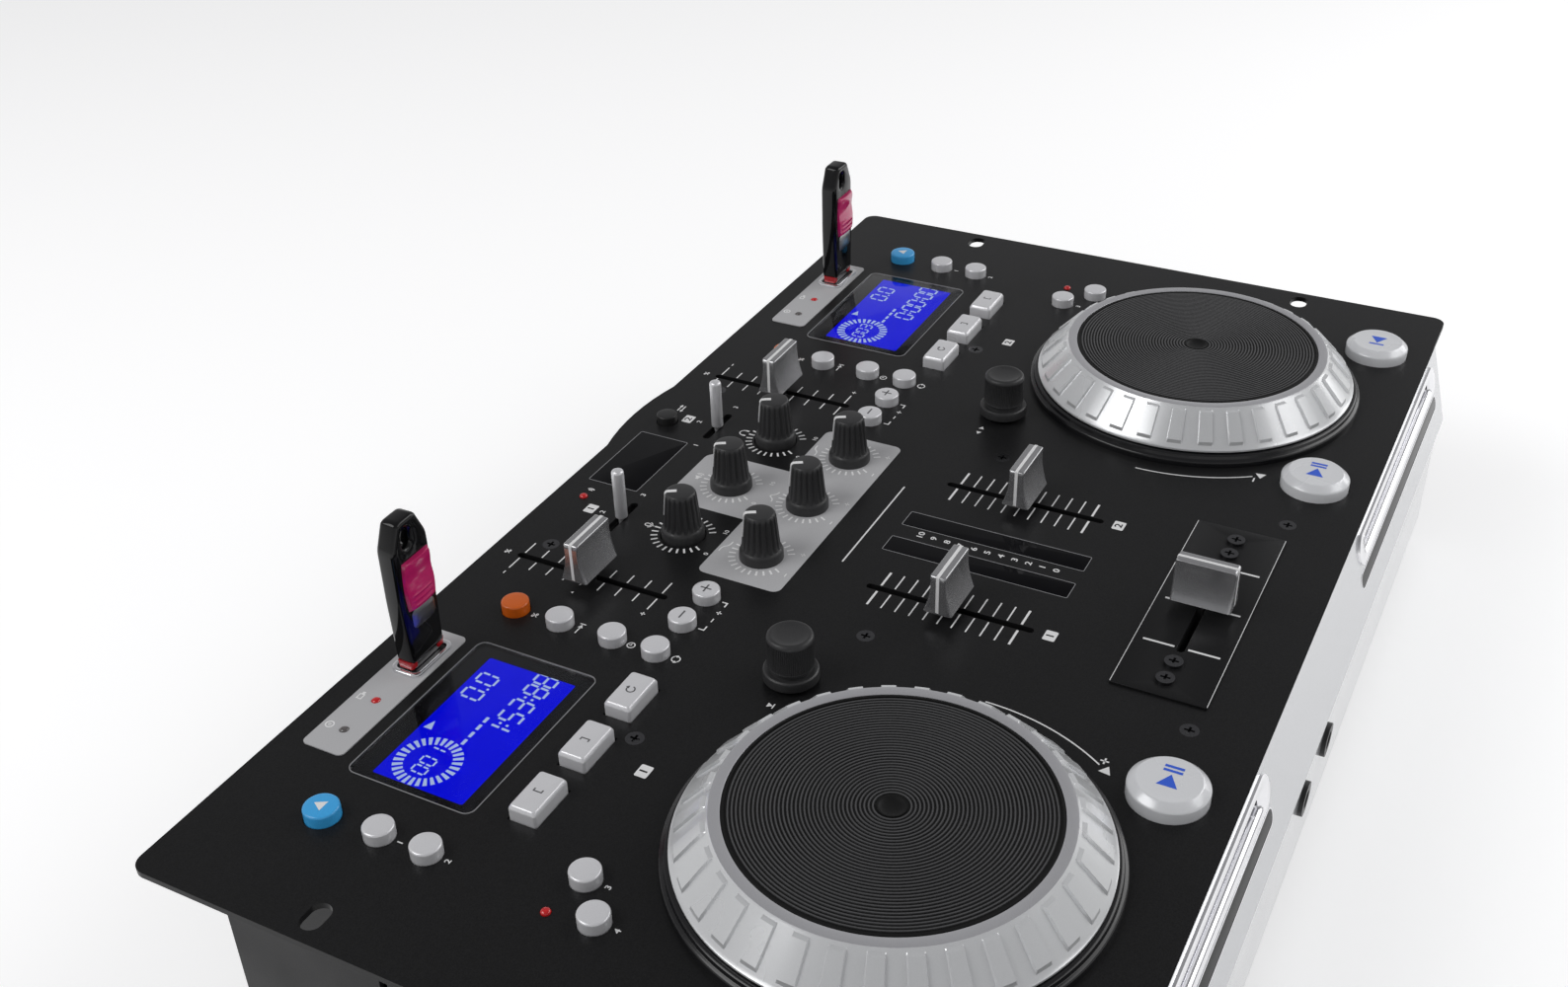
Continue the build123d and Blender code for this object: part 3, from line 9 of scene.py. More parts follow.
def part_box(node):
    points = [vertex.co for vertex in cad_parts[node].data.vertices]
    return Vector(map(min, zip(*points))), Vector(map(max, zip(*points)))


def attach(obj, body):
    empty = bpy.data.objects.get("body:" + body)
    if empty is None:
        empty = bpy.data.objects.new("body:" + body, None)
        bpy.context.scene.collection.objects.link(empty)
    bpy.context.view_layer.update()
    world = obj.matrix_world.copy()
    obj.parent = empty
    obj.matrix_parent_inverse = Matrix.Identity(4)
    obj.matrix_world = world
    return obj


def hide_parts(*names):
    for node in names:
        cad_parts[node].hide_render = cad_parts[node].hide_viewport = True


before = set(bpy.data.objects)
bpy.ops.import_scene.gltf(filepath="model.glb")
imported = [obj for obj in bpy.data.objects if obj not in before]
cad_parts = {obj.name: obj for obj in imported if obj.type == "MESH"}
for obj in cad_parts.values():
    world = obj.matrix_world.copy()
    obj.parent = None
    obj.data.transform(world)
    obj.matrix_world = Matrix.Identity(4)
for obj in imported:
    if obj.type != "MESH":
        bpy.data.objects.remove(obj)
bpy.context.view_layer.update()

# The looks of a two-deck disc player with a mixer. Sizes are in millimetres, and become metres where
# a mesh is made. Places come from the boxes of the frame's solids, so that each piece stays where
# its node is.

MM = 0.001
TURN = 2 * math.pi
DECKS = ("a", "b")
SIDE = {"a": -1, "b": 1}
ROUND = 96               # points round a small turned piece
INK = 0.045              # how far a print stands on its surface
CREASE = 32.0            # edges sharper than this many degrees stay sharp
FIGURE_SHARE = 0.73      # the height of a figure in the built-in type, as a share of its size


# ================================================================ reading the frame
def read_mesh(mesh):
    """A mesh's points, the point numbers of its faces in a row, and how many each face takes."""
    points = np.empty(len(mesh.vertices) * 3)
    mesh.vertices.foreach_get("co", points)
    loops = np.empty(len(mesh.loops), int)
    mesh.loops.foreach_get("vertex_index", loops)
    sizes = np.empty(len(mesh.polygons), int)
    mesh.polygons.foreach_get("loop_total", sizes)
    return points.reshape(-1, 3), loops, sizes


def solids(node):
    """The box of each separate solid of a node, from left to right, in millimetres. Corners at one
    place count as one point, and each point takes the lowest number found on its faces, again and
    again, until none changes: points that end with one number are one solid."""
    corners, loops = read_mesh(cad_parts[node].data)[:2]
    places, same = np.unique(np.round(corners / MM, 2), axis=0, return_inverse=True)
    faces = same.reshape(-1)[loops].reshape(-1, 3)
    label = np.arange(len(places))
    while True:
        lower = label.copy()
        np.minimum.at(lower, faces.ravel(), np.repeat(label[faces].min(1), 3))
        lower = lower[lower]
        if (lower == label).all():
            break
        label = lower
    groups = [places[label == k] for k in np.unique(label)]
    return sorted(((g.min(0), g.max(0)) for g in groups), key=lambda b: (b[0] + b[1])[0])


def middle(box):
    """The x and y of a box's middle."""
    return tuple(((box[0] + box[1]) / 2)[:2])


def half_size(box):
    """Half a box's length and width."""
    return tuple(((box[1] - box[0]) / 2)[:2])


def node_middle(node):
    lo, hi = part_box(node)
    return (lo.x + hi.x) / 2 / MM, (lo.y + hi.y) / 2 / MM


def node_top(node):
    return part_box(node)[1].z / MM


FACE = solids("top_panel")[0][1][2]      # z of the panel's face
PANEL_T = 2.0
UNDER = FACE - PANEL_T


# ================================================================ surfaces
# A shape is (points, loops, sizes): its points, the point numbers of all its faces in a row, and how
# many of them each face takes.
def skin(rows, closed=False, capped=True):
    """A surface through rows of points, each row a ring: quads join each ring to the next, and its
    last point to its first. closed joins the last ring to the first; capped puts one flat face over
    each end. Rings run anticlockwise seen from the side that the rows go to."""
    n, m = rows.shape[:2]
    index = np.arange(n * m).reshape(n, m)
    low = index if closed else index[:-1]
    high = np.roll(index, -1, axis=0) if closed else index[1:]
    quads = np.stack([low, np.roll(low, -1, 1), np.roll(high, -1, 1), high], -1).reshape(-1, 4)
    loops, sizes = quads.ravel(), np.full(len(quads), 4)
    if capped and not closed:
        loops = np.concatenate([loops, index[0][::-1], index[-1]])
        sizes = np.concatenate([sizes, [m, m]])
    return rows.reshape(-1, 3), loops, sizes


def turned(centre, profile, around=ROUND, flute=None, closed=False):
    """A turned surface: each (radius, height) of the profile is a ring round the centre line. flute
    gives a depth taken off the radius at every angle and height."""
    angle = np.arange(around) * TURN / around
    radius, z = np.array(profile, float).T[:, :, None] + 0 * angle
    if flute:
        radius = radius - flute(angle, z)
    rows = np.stack([centre[0] + radius * np.cos(angle), centre[1] + radius * np.sin(angle), z], -1)
    return skin(rows, closed)


def outline(half_l, half_w, radius, per_corner=7):
    """Points round a rectangle with round corners: a quarter circle at each corner."""
    quarter = np.linspace(0, TURN / 4, per_corner)
    angle = np.concatenate([quarter + k * TURN / 4 for k in range(4)])
    sign_x = np.repeat([1, -1, -1, 1], per_corner)
    sign_y = np.repeat([1, 1, -1, -1], per_corner)
    x = sign_x * (half_l - radius) + radius * np.cos(angle)
    y = sign_y * (half_w - radius) + radius * np.sin(angle)
    return np.stack([x, y], -1)


def stacked(centre, sections, closed=False, per_corner=7):
    """Rounded rectangles one above the other, joined by a skin: each section is (half length, half
    width, corner radius, height)."""
    rings = [outline(l, w, r, per_corner) for l, w, r, z in sections]
    rows = np.empty((len(rings), len(rings[0]), 3))
    rows[:, :, :2] = np.array(rings) + centre
    rows[:, :, 2] = np.array([z for l, w, r, z in sections])[:, None]
    return skin(rows, closed)


def prisms(polygons, low, high):
    """Flat polygons with equal numbers of corners, anticlockwise, each made a thin closed plate."""
    flat = np.array(polygons, float)
    m, k = flat.shape[:2]
    points = np.empty((m, 2, k, 3))
    points[..., :2] = flat[:, None]
    points[:, 0, :, 2], points[:, 1, :, 2] = low, high
    index = np.arange(m * 2 * k).reshape(m, 2, k)
    bottom, top = index[:, 0], index[:, 1]
    sides = np.stack([bottom, np.roll(bottom, -1, 1), np.roll(top, -1, 1), top], -1)
    loops = np.concatenate([sides.ravel(), bottom[:, ::-1].ravel(), top.ravel()])
    return points.reshape(-1, 3), loops, np.concatenate([np.full(m * k, 4), np.full(2 * m, k)])


def stroke(path, width, low, high, closed=False):
    """A line of even width drawn along a path of (x, y) points: a rectangle carried along it, with
    mitred corners."""
    p = np.array(path, float)
    ahead, behind = np.roll(p, -1, 0) - p, p - np.roll(p, 1, 0)
    if not closed:
        ahead[-1], behind[0] = behind[-1], ahead[0]
    ahead /= np.linalg.norm(ahead, axis=1)[:, None]
    behind /= np.linalg.norm(behind, axis=1)[:, None]
    along = ahead + behind
    along /= np.linalg.norm(along, axis=1)[:, None]
    left = np.stack([-along[:, 1], along[:, 0]], -1)
    left *= width / 2 / np.maximum((along * ahead).sum(1), 0.4)[:, None]
    rows = np.empty((len(p), 4, 3))
    rows[:, [0, 3], :2] = (p - left)[:, None]
    rows[:, [1, 2], :2] = (p + left)[:, None]
    rows[:, :2, 2], rows[:, 2:, 2] = low, high
    return skin(rows, closed)


def arc(centre, radius, start, end, points=24):
    """Points on an arc, from one angle in degrees to another."""
    angle = np.radians(np.linspace(start, end, points))
    return np.stack([centre[0] + radius * np.cos(angle), centre[1] + radius * np.sin(angle)], -1)


def from_curve(curve):
    """A flat curve or a text made a shape, and the curve thrown away."""
    holder = bpy.data.objects.new("holder", curve)
    mesh = bpy.data.meshes.new_from_object(holder)
    shape = read_mesh(mesh)
    bpy.data.objects.remove(holder)
    bpy.data.curves.remove(curve)
    bpy.data.meshes.remove(mesh)
    return shape


def figures(text, x, y, height, top, wide=1.2, ink=INK):
    """Plain numbers and signs on a surface at the height top, centred on (x, y), as tall as height.
    ink is how far they stand above and reach below the surface."""
    curve = bpy.data.curves.new("figures", "FONT")
    curve.body = text
    curve.align_x, curve.align_y = "CENTER", "CENTER"
    curve.size = height / FIGURE_SHARE
    curve.extrude = ink
    curve.offset = 0.02 * height
    curve.resolution_u = 3
    points, loops, sizes = from_curve(curve)
    return points * (wide, 1, 1) + (x, y, top), loops, sizes


def cut_sheet(outlines, thickness, edge):
    """A flat sheet cut to its first outline, with the others as holes, and its edges rounded."""
    curve = bpy.data.curves.new("sheet", "CURVE")
    curve.dimensions = "2D"
    for points in outlines:
        spline = curve.splines.new("POLY")
        spline.points.add(len(points) - 1)
        flat = np.zeros((len(points), 4))
        flat[:, :2] = points
        flat[:, 3] = 1
        spline.points.foreach_set("co", flat.ravel())
        spline.use_cyclic_u = True
    curve.fill_mode = "BOTH"
    curve.extrude = thickness / 2 - edge
    curve.bevel_depth = edge
    curve.bevel_resolution = 2
    curve.offset = -edge
    return from_curve(curve)


def joined(*shapes):
    """Several shapes as one: the point numbers of each are moved up by the points before it."""
    starts = np.cumsum([0] + [len(s[0]) for s in shapes[:-1]])
    points = np.concatenate([s[0] for s in shapes])
    loops = np.concatenate([s[1] + start for s, start in zip(shapes, starts)])
    return points, loops, np.concatenate([s[2] for s in shapes])


def ribbon(path, width, sunk, proud):
    """A strip of even width laid over a path of (y, z) points that runs along y: a rectangle carried
    along it, which reaches down by sunk and stands out by proud."""
    step = np.gradient(path, axis=0)
    step /= np.linalg.norm(step, axis=1)[:, None]
    outward = np.stack([-step[:, 1], step[:, 0]], -1)
    rows = np.empty((len(path), 4, 3))
    for k, (side, lift) in enumerate(((1, -sunk), (-1, -sunk), (-1, proud), (1, proud))):
        rows[:, k, 0] = side * width / 2
        rows[:, k, 1:] = path + lift * outward
    return skin(rows)


def placed(shape, matrix):
    """A shape turned and moved by a 4x4 matrix in millimetres."""
    m = np.array(matrix)
    return shape[0] @ m[:3, :3].T + m[:3, 3], shape[1], shape[2]


def piece(name, body, parts, stands_for=(), weld=False):
    """One finished piece: parts is a list of (shape, material). It rides on a body, and stands for
    the nodes named."""
    points, loops, sizes = joined(*[shape for shape, material in parts])
    mesh = bpy.data.meshes.new(name)
    mesh.vertices.add(len(points))
    mesh.vertices.foreach_set("co", (points * MM).astype(np.float32).ravel())
    mesh.loops.add(len(loops))
    mesh.loops.foreach_set("vertex_index", loops.astype(np.int32))
    mesh.polygons.add(len(sizes))
    mesh.polygons.foreach_set("loop_start", np.concatenate([[0], np.cumsum(sizes)[:-1]]).astype(np.int32))
    kinds = list(dict.fromkeys(m for s, m in parts))
    for material in kinds:
        mesh.materials.append(material)
    which = np.concatenate([np.full(len(s[2]), kinds.index(m)) for s, m in parts])
    mesh.polygons.foreach_set("material_index", which.astype(np.int32))
    mesh.update(calc_edges=True)
    mesh.validate()
    if weld:
        work = bmesh.new()
        work.from_mesh(mesh)
        bmesh.ops.remove_doubles(work, verts=work.verts, dist=2e-7)
        bmesh.ops.recalc_face_normals(work, faces=work.faces)
        work.to_mesh(mesh)
        work.free()
    mesh.shade_smooth()
    mesh.set_sharp_from_angle(angle=math.radians(CREASE))
    obj = bpy.data.objects.new(name, mesh)
    bpy.context.scene.collection.objects.link(obj)
    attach(obj, body)
    if stands_for:
        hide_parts(*stands_for)
    return obj


# ================================================================ finishes
def set_inputs(node, **values):
    """Sets a node's inputs. An underscore in a name stands for a space."""
    for name, value in values.items():
        node.inputs[name.replace("_", " ")].default_value = value
    return node


def add_node(tree, kind, **values):
    return set_inputs(tree.nodes.new("ShaderNode" + kind), **values)


def wire(tree, *links):
    """Joins nodes: each link is (from node, its output, to node, its input)."""
    for source, out, target, into in links:
        tree.links.new(source.outputs[out], target.inputs[into])


def ramp(tree, first, last, *between):
    """A node that turns a number into a colour. Each stop is (place, colour)."""
    node = add_node(tree, "ValToRGB")
    stops = node.color_ramp.elements
    for stop, (place, colour) in zip(stops, (first, last)):
        stop.position, stop.color = place, (*colour, 1)
    for place, colour in between:
        stops.new(place).color = (*colour, 1)
    return node


def finish(name, colour, roughness, metallic=0.0, specular=0.5, grain=0.5, bump=0.0, mottle=0.06,
           coat=0.0, wear=30.0):
    """A surface finish: a fine grain varies the colour and raises the surface, and a wide, faint
    cloud varies the roughness, as handling and moulding do. grain and wear are the sizes of the two
    patterns in millimetres, and bump is the grain's height in millimetres."""
    material = bpy.data.materials.new(name)
    material.use_nodes = True
    tree = material.node_tree
    shader = set_inputs(tree.nodes["Principled BSDF"], Metallic=metallic, Specular_IOR_Level=specular,
                        Coat_Weight=coat, Coat_Roughness=0.08)
    place = add_node(tree, "TexCoord")
    fine = add_node(tree, "TexNoise", Scale=1 / (grain * MM), Detail=2)
    tint = ramp(tree, (0.3, [c * (1 - mottle) for c in colour]), (0.7, [c * (1 + mottle) for c in colour]))
    cloud = add_node(tree, "TexNoise", Scale=1 / (wear * MM), Detail=3)
    spread = add_node(tree, "MapRange", From_Min=0.3, From_Max=0.7, To_Min=roughness * 0.88,
                      To_Max=min(roughness * 1.12, 1.0))
    wire(tree, (place, "Object", fine, "Vector"), (fine, "Fac", tint, "Fac"),
         (tint, "Color", shader, "Base Color"), (place, "Object", cloud, "Vector"),
         (cloud, "Fac", spread, "Value"), (spread, "Result", shader, "Roughness"))
    if bump:
        raised = add_node(tree, "Bump", Strength=1.0, Distance=bump * MM)
        wire(tree, (fine, "Fac", raised, "Height"), (raised, "Normal", shader, "Normal"))
    return material


def lit(name, colour, strength):
    """A finish that shines by itself, a little brighter in its middle clouds than elsewhere."""
    material = finish(name, [0.1 * c for c in colour], 0.4, specular=0.05, grain=2.0)
    tree = material.node_tree
    shader = set_inputs(tree.nodes["Principled BSDF"], Emission_Strength=strength)
    cloud = [n for n in tree.nodes if n.type == "TEX_NOISE"][1]
    glow = ramp(tree, (0.0, [0.93 * c for c in colour]), (1.0, colour))
    wire(tree, (cloud, "Fac", glow, "Fac"), (glow, "Color", shader, "Emission Color"))
    return material


def clear_pane():
    """Clear acrylic with a faint grey tint and a polished face."""
    material = finish("clear_pane", (0.82, 0.83, 0.86), 0.03, specular=0.04, grain=8.0, mottle=0.02)
    set_inputs(material.node_tree.nodes["Principled BSDF"], Transmission_Weight=1.0, IOR=1.15)
    return material


PANEL_BLACK = finish("panel_black", (0.0115, 0.0115, 0.012), 0.33, specular=0.16, grain=0.34,
                     bump=0.012, mottle=0.35, wear=45.0)
CASE_BLACK = finish("case_black", (0.016, 0.016, 0.017), 0.5, specular=0.35, grain=0.5, bump=0.03,
                    mottle=0.3)
FASCIA_SILVER = finish("fascia_silver", (0.62, 0.63, 0.65), 0.2, metallic=0.35, grain=0.25,
                       mottle=0.04, coat=0.6)
BRIGHT_TRIM = finish("bright_trim", (0.82, 0.82, 0.84), 0.07, metallic=1.0, grain=4.0, mottle=0.02)
SMOKED = finish("smoked_window", (0.003, 0.003, 0.004), 0.06, specular=0.07, grain=6.0, mottle=0.2)
# painted highlight: the pale lines round the windows stand for the glint of their edges
WINDOW_EDGE_GLINT = finish("window_edge_glint", (0.30, 0.30, 0.31), 0.3, grain=0.5, mottle=0.05)
CLEAR = clear_pane()
MASK = finish("display_mask", (0.004, 0.004, 0.005), 0.25, specular=0.25, grain=0.6, mottle=0.2)
LCD_BLUE = lit("lcd_blue", (0.0, 0.002, 0.72), 1.0)
LCD_PALE = lit("lcd_segments", (0.36, 0.46, 0.70), 1.15)
PLATE_GREY = finish("plate_grey", (0.50, 0.50, 0.51), 0.5, specular=0.3, grain=0.3, bump=0.008, mottle=0.05)
KEY_SILVER = finish("key_silver", (0.80, 0.80, 0.82), 0.30, metallic=0.3, grain=0.2, mottle=0.05, coat=0.25)
PLAY_WHITE = finish("play_white", (0.82, 0.83, 0.85), 0.28, metallic=0.12, grain=0.2, mottle=0.02, coat=0.3)
KEY_BLUE = finish("key_blue", (0.05, 0.42, 0.86), 0.3, grain=0.3, mottle=0.05, coat=0.2)
KEY_ORANGE = finish("key_orange", (0.72, 0.13, 0.004), 0.3, grain=0.3, mottle=0.06, coat=0.2)
KEY_BLACK = finish("key_black", (0.012, 0.012, 0.012), 0.35, grain=0.3, bump=0.01, mottle=0.2)
KNOB_BLACK = finish("knob_black", (0.030, 0.030, 0.031), 0.40, specular=0.42, grain=0.22, bump=0.012,
                    mottle=0.25)
CAP_GREY = finish("cap_grey", (0.40, 0.40, 0.41), 0.24, metallic=0.75, grain=0.3, mottle=0.05, coat=0.35)
JOG_SILVER = finish("jog_silver", (0.76, 0.77, 0.78), 0.26, metallic=0.4, grain=0.2, mottle=0.04, coat=0.3)
# a darker copy of the jog silver: painted shade for the rim's flat top
JOG_RIM_SHADED = finish("jog_rim_shaded", (0.52, 0.52, 0.54), 0.3, metallic=0.5, grain=0.2, mottle=0.05, coat=0.2)
LEVER_SATIN = finish("lever_satin", (0.80, 0.80, 0.82), 0.36, metallic=0.6, grain=0.2, mottle=0.02,
                     wear=90.0)
# one black disc in two shades: the darker is painted shade in the grooves, the lighter painted sheen on the
# ridges
JOG_BLACK_SHADED = finish("jog_black", (0.005, 0.005, 0.005), 0.5, specular=0.2, grain=0.8, mottle=0.15, wear=18.0)
JOG_RIDGE_SHEEN = finish("jog_ridge_sheen", (0.060, 0.060, 0.062), 0.26, specular=0.8, grain=0.8, mottle=0.12,
                   wear=18.0)
BASE_BLACK = finish("base_black", (0.008, 0.008, 0.009), 0.2, specular=0.45, grain=0.4, mottle=0.2)
STEEL = finish("steel_axle", (0.42, 0.42, 0.43), 0.3, metallic=1.0, grain=0.3, bump=0.004)
SCREW_BLACK = finish("screw_black", (0.09, 0.09, 0.095), 0.15, metallic=0.9, grain=0.3, bump=0.01,
                     mottle=0.2)
RUBBER = finish("foot_rubber", (0.018, 0.018, 0.018), 0.75, specular=0.25, grain=0.4, bump=0.05, mottle=0.2)
LED_RED = finish("led_red", (0.62, 0.006, 0.008), 0.12, specular=0.6, grain=1.0, mottle=0.15, coat=0.5)
LED_DARK = finish("led_clear", (0.10, 0.09, 0.09), 0.1, specular=0.6, grain=1.0, mottle=0.25, coat=0.5)
DRIVE_METAL = finish("drive_metal", (0.52, 0.53, 0.54), 0.32, metallic=1.0, grain=0.6, bump=0.01)
BOARD_GREEN = finish("board_green", (0.012, 0.075, 0.03), 0.4, grain=1.2, bump=0.01, mottle=0.2)
INNER_PLASTIC = finish("inner_plastic", (0.035, 0.035, 0.035), 0.45, grain=0.4, bump=0.02, mottle=0.2)
SOCKET_BLACK = finish("socket_black", (0.010, 0.010, 0.010), 0.4, grain=0.4, bump=0.015, mottle=0.2)
STICK_BLACK = finish("stick_black", (0.004, 0.004, 0.0045), 0.09, specular=0.3, grain=3.0, mottle=0.2,
                     coat=0.1)
STICK_PINK = finish("stick_pink", (0.62, 0.012, 0.14), 0.16, specular=0.5, grain=0.8, mottle=0.06, coat=0.5)
STICK_RED = finish("stick_red", (0.45, 0.006, 0.012), 0.25, grain=0.8, mottle=0.1, coat=0.3)
SWITCH_BLACK = finish("switch_black", (0.010, 0.010, 0.011), 0.15, grain=0.8, mottle=0.2, coat=0.3)
# white print; the same finish also paints the highlights along the crossfader plate's long edges
PRINT_AND_GLINT_WHITE = finish("print_and_glint_white", (0.86, 0.86, 0.86), 0.5, specular=0.3, grain=0.3, mottle=0.05)
PRINT_BLUE = finish("print_blue", (0.03, 0.12, 0.72), 0.35, grain=0.3, mottle=0.05)
PRINT_GREY = finish("print_grey", (0.10, 0.10, 0.105), 0.45, grain=0.3, mottle=0.08)
RCA_RED = finish("rca_red", (0.5, 0.01, 0.01), 0.35, grain=0.5, mottle=0.08)
RCA_WHITE = finish("rca_white", (0.7, 0.7, 0.68), 0.35, grain=0.5, mottle=0.04)

NODE_FINISH = {
    "top_panel": PANEL_BLACK, "housing": CASE_BLACK, "front_fascia": FASCIA_SILVER,
    "lcd_modules": MASK, "usb_plates": PLATE_GREY, "panel_screws": SCREW_BLACK, "jog_spindles": STEEL,
    "feet": RUBBER, "cd_drives": DRIVE_METAL, "circuit_boards": BOARD_GREEN,
    "control_bodies": INNER_PLASTIC, "connectors": SOCKET_BLACK, "power_switch": SWITCH_BLACK,
    "encoder_shaft_a": STEEL, "encoder_shaft_b": STEEL,
}


def dress_nodes():
    """Gives every node that stays in view its finish."""
    for name, material in NODE_FINISH.items():
        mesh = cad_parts[name].data
        mesh.materials.clear()
        mesh.materials.append(material)


# ================================================================ keys
FLANGE_LIP, FLANGE_T, FLANGE_GAP = 1.1, 0.8, 0.2
EDGE_STEPS = 5
SQUARE = np.array([[-1, -1], [1, -1], [1, 1], [-1, 1]]) / 2     # a square with sides of one


def rounded_edge(radius, top, bend, crown=0.0):
    """The end of a turned profile: a quarter circle from the side to the top, then the top, which
    rises towards its middle by the crown."""
    angle = np.linspace(0, TURN / 4, EDGE_STEPS)
    edge = np.stack([radius - bend + bend * np.cos(angle), top - crown - bend + bend * np.sin(angle)], -1)
    inner = [(0.5 * (radius - bend), top - 0.25 * crown), (0.05 * radius, top)]
    return [tuple(p) for p in edge] + inner


def key_foot(radius):
    """The lower part of a key's profile: its flange under the panel."""
    low = UNDER - FLANGE_GAP
    return [(radius + FLANGE_LIP, low - FLANGE_T), (radius + FLANGE_LIP, low), (radius, low)]


def round_key(box, bend=0.7, crown=0.12):
    """A round key: a turned profile of flange, side, rounded edge and slightly crowned top."""
    radius = half_size(box)[0] - FLANGE_LIP
    return turned(middle(box), key_foot(radius) + rounded_edge(radius, box[1][2], bend, crown))


def big_key(box):
    """A play or cue key: a turned profile with a broad sloping shoulder round a flat top."""
    radius = half_size(box)[0] - FLANGE_LIP
    top = box[1][2]
    shoulder_z, shoulder_r = top - 2.0, radius - 2.7
    profile = key_foot(radius) + [
        (radius, shoulder_z - 0.6), (radius - 0.12, shoulder_z - 0.2), (radius - 0.45, shoulder_z + 0.1),
        (shoulder_r + 0.5, top - 0.32), (shoulder_r + 0.15, top - 0.12), (shoulder_r, top - 0.10),
        (shoulder_r - 0.25, top - 0.16), (0.5 * shoulder_r, top - 0.04), (0.4, top),
    ]
    return turned(middle(box), profile)


def oblong_key(box):
    """A loop key: rounded rectangles that step in from the base to a smaller top."""
    lip_l, lip_w = half_size(box)
    half_l, half_w = lip_l - FLANGE_LIP, lip_w - FLANGE_LIP
    top, low = box[1][2], UNDER - FLANGE_GAP
    return stacked(middle(box), [
        (lip_l, lip_w, 1.2, low - FLANGE_T), (lip_l, lip_w, 1.2, low), (half_l, half_w, 1.1, low),
        (half_l, half_w, 1.1, top - 1.5), (half_l - 0.08, half_w - 0.07, 1.1, top - 1.15),
        (half_l - 0.62, half_w - 0.55, 1.0, top - 0.28), (half_l - 0.85, half_w - 0.78, 0.9, top - 0.08),
        (half_l - 1.25, half_w - 1.15, 0.7, top), (0.5, 0.2, 0.1, top),
    ])


def prints_on(top):
    """How low and high a print on a surface at this height is."""
    return top - INK, top + INK


def plus_sign(x, y, size, width, top):
    across, down = SQUARE * (size, width), SQUARE * (width, size)
    return prisms([across + (x, y), down + (x, y)], *prints_on(top))


def minus_sign(x, y, size, width, top):
    return bars([(x, y)], (size, width), top)


def triangle(x, y, size, heading, top):
    """A filled triangle that points along a heading in degrees."""
    angle = np.radians(heading) + np.array([0, TURN / 3, 2 * TURN / 3])
    corners = np.stack([x + size * np.cos(angle), y + size * np.sin(angle)], -1)
    return prisms([corners], *prints_on(top))


def bars(places, size, top):
    """Upright rectangles of one size, centred on their places."""
    return prisms([SQUARE * size + place for place in places], *prints_on(top))


def line(points, width, top, closed=False):
    return stroke(points, width, *prints_on(top), closed)


def make_keys():
    for d in DECKS:
        for kind, material, slot in (
            ("mode_buttons", KEY_SILVER, "key_silver"), ("outer_buttons", KEY_SILVER, "key_silver"),
            ("pitch_button", KEY_ORANGE, "key_orange"),
        ):
            node = f"{kind}_{d}"
            keys = [(round_key(box), material) for box in solids(node)]
            piece(f"{node}_caps", node, keys, [node])

        node = f"bend_buttons_{d}"
        boxes = solids(node)
        parts = [(round_key(box), KEY_SILVER) for box in boxes]
        for box, sign in zip(boxes, (minus_sign, plus_sign)):
            parts.append((sign(*middle(box), 4.0, 0.55, box[1][2]), PRINT_GREY))
        piece(f"{node}_caps", node, parts, [node])

        node = f"eject_{d}"
        box = solids(node)[0]
        arrow = triangle(*middle(box), 2.3, 90, box[1][2])
        parts = [(round_key(box, 0.8), KEY_BLUE), (arrow, PRINT_AND_GLINT_WHITE)]
        piece(f"{node}_cap", node, parts, [node])

        # a triangle and two bars on the play key, and one bar and a triangle on the cue key
        for node, arrow_x, heading, bars_x in (
            (f"play_{d}", -1.6, 0, (3.4, 5.2)), (f"cue_{d}", 1.2, 180, (-3.4,)),
        ):
            box = solids(node)[0]
            (x, y), top = middle(box), box[1][2]
            icon = joined(triangle(x + arrow_x, y, 3.5, heading, top),
                          bars([(x + dx, y) for dx in bars_x], (0.95, 5.6), top))
            parts = [(big_key(box), PLAY_WHITE), (icon, PRINT_BLUE)]
            piece(f"{node}_cap", node, parts, [node])

        node = f"loop_buttons_{d}"
        boxes = solids(node) if d == "a" else solids(node)[::-1]
        parts = [(oblong_key(box), KEY_SILVER) for box in boxes]
        parts += [(mark, PRINT_GREY) for mark in loop_marks(boxes)]
        piece(f"{node}_caps", node, parts, [node])

    node = "sync_button"
    piece(f"{node}_cap", node, [(round_key(solids(node)[0], 0.5), KEY_BLACK)], [node])


def loop_marks(boxes):
    """A bracket that opens, one that closes, and a ring with an arrow: in, out and again."""
    width, half, depth = 0.42, 1.35, 1.1
    marks = []
    for box, sign in zip(boxes[:2], (1, -1)):
        x, y = middle(box)
        path = [(x + sign * depth, y + half), (x, y + half), (x, y - half), (x + sign * depth, y - half)]
        marks.append(line(path, width, box[1][2]))
    x, y = middle(boxes[2])
    marks.append(line(arc((x, y), 1.35, 70, 350), width, boxes[2][1][2]))
    marks.append(triangle(x + 0.75, y + 1.25, 0.75, -20, boxes[2][1][2]))
    return marks


# ================================================================ knobs, browse knobs and levers
KNOB_FLUTES, KNOB_FLUTE_DEPTH = 18, 0.42
KNOB_COLLAR_H = 4.0      # the plain collar at a knob's foot
KNOBS = ("mic", "master", "phones", "low", "mid", "high")
POINTER_W, POINTER_SUNK, POINTER_PROUD = 1.5, 0.5, 0.12
POINTER_TURN = math.radians(30)   # where the knobs stand in the picture, from the back


def knob_radius(height, tall):
    """A knob's radius: upright at the collar, a small step in, then a straight taper to the top."""
    share = np.clip((height - KNOB_COLLAR_H) / (tall - KNOB_COLLAR_H), 0, 1)
    return np.where(height < KNOB_COLLAR_H, 7.6, 6.75 - 1.35 * share)


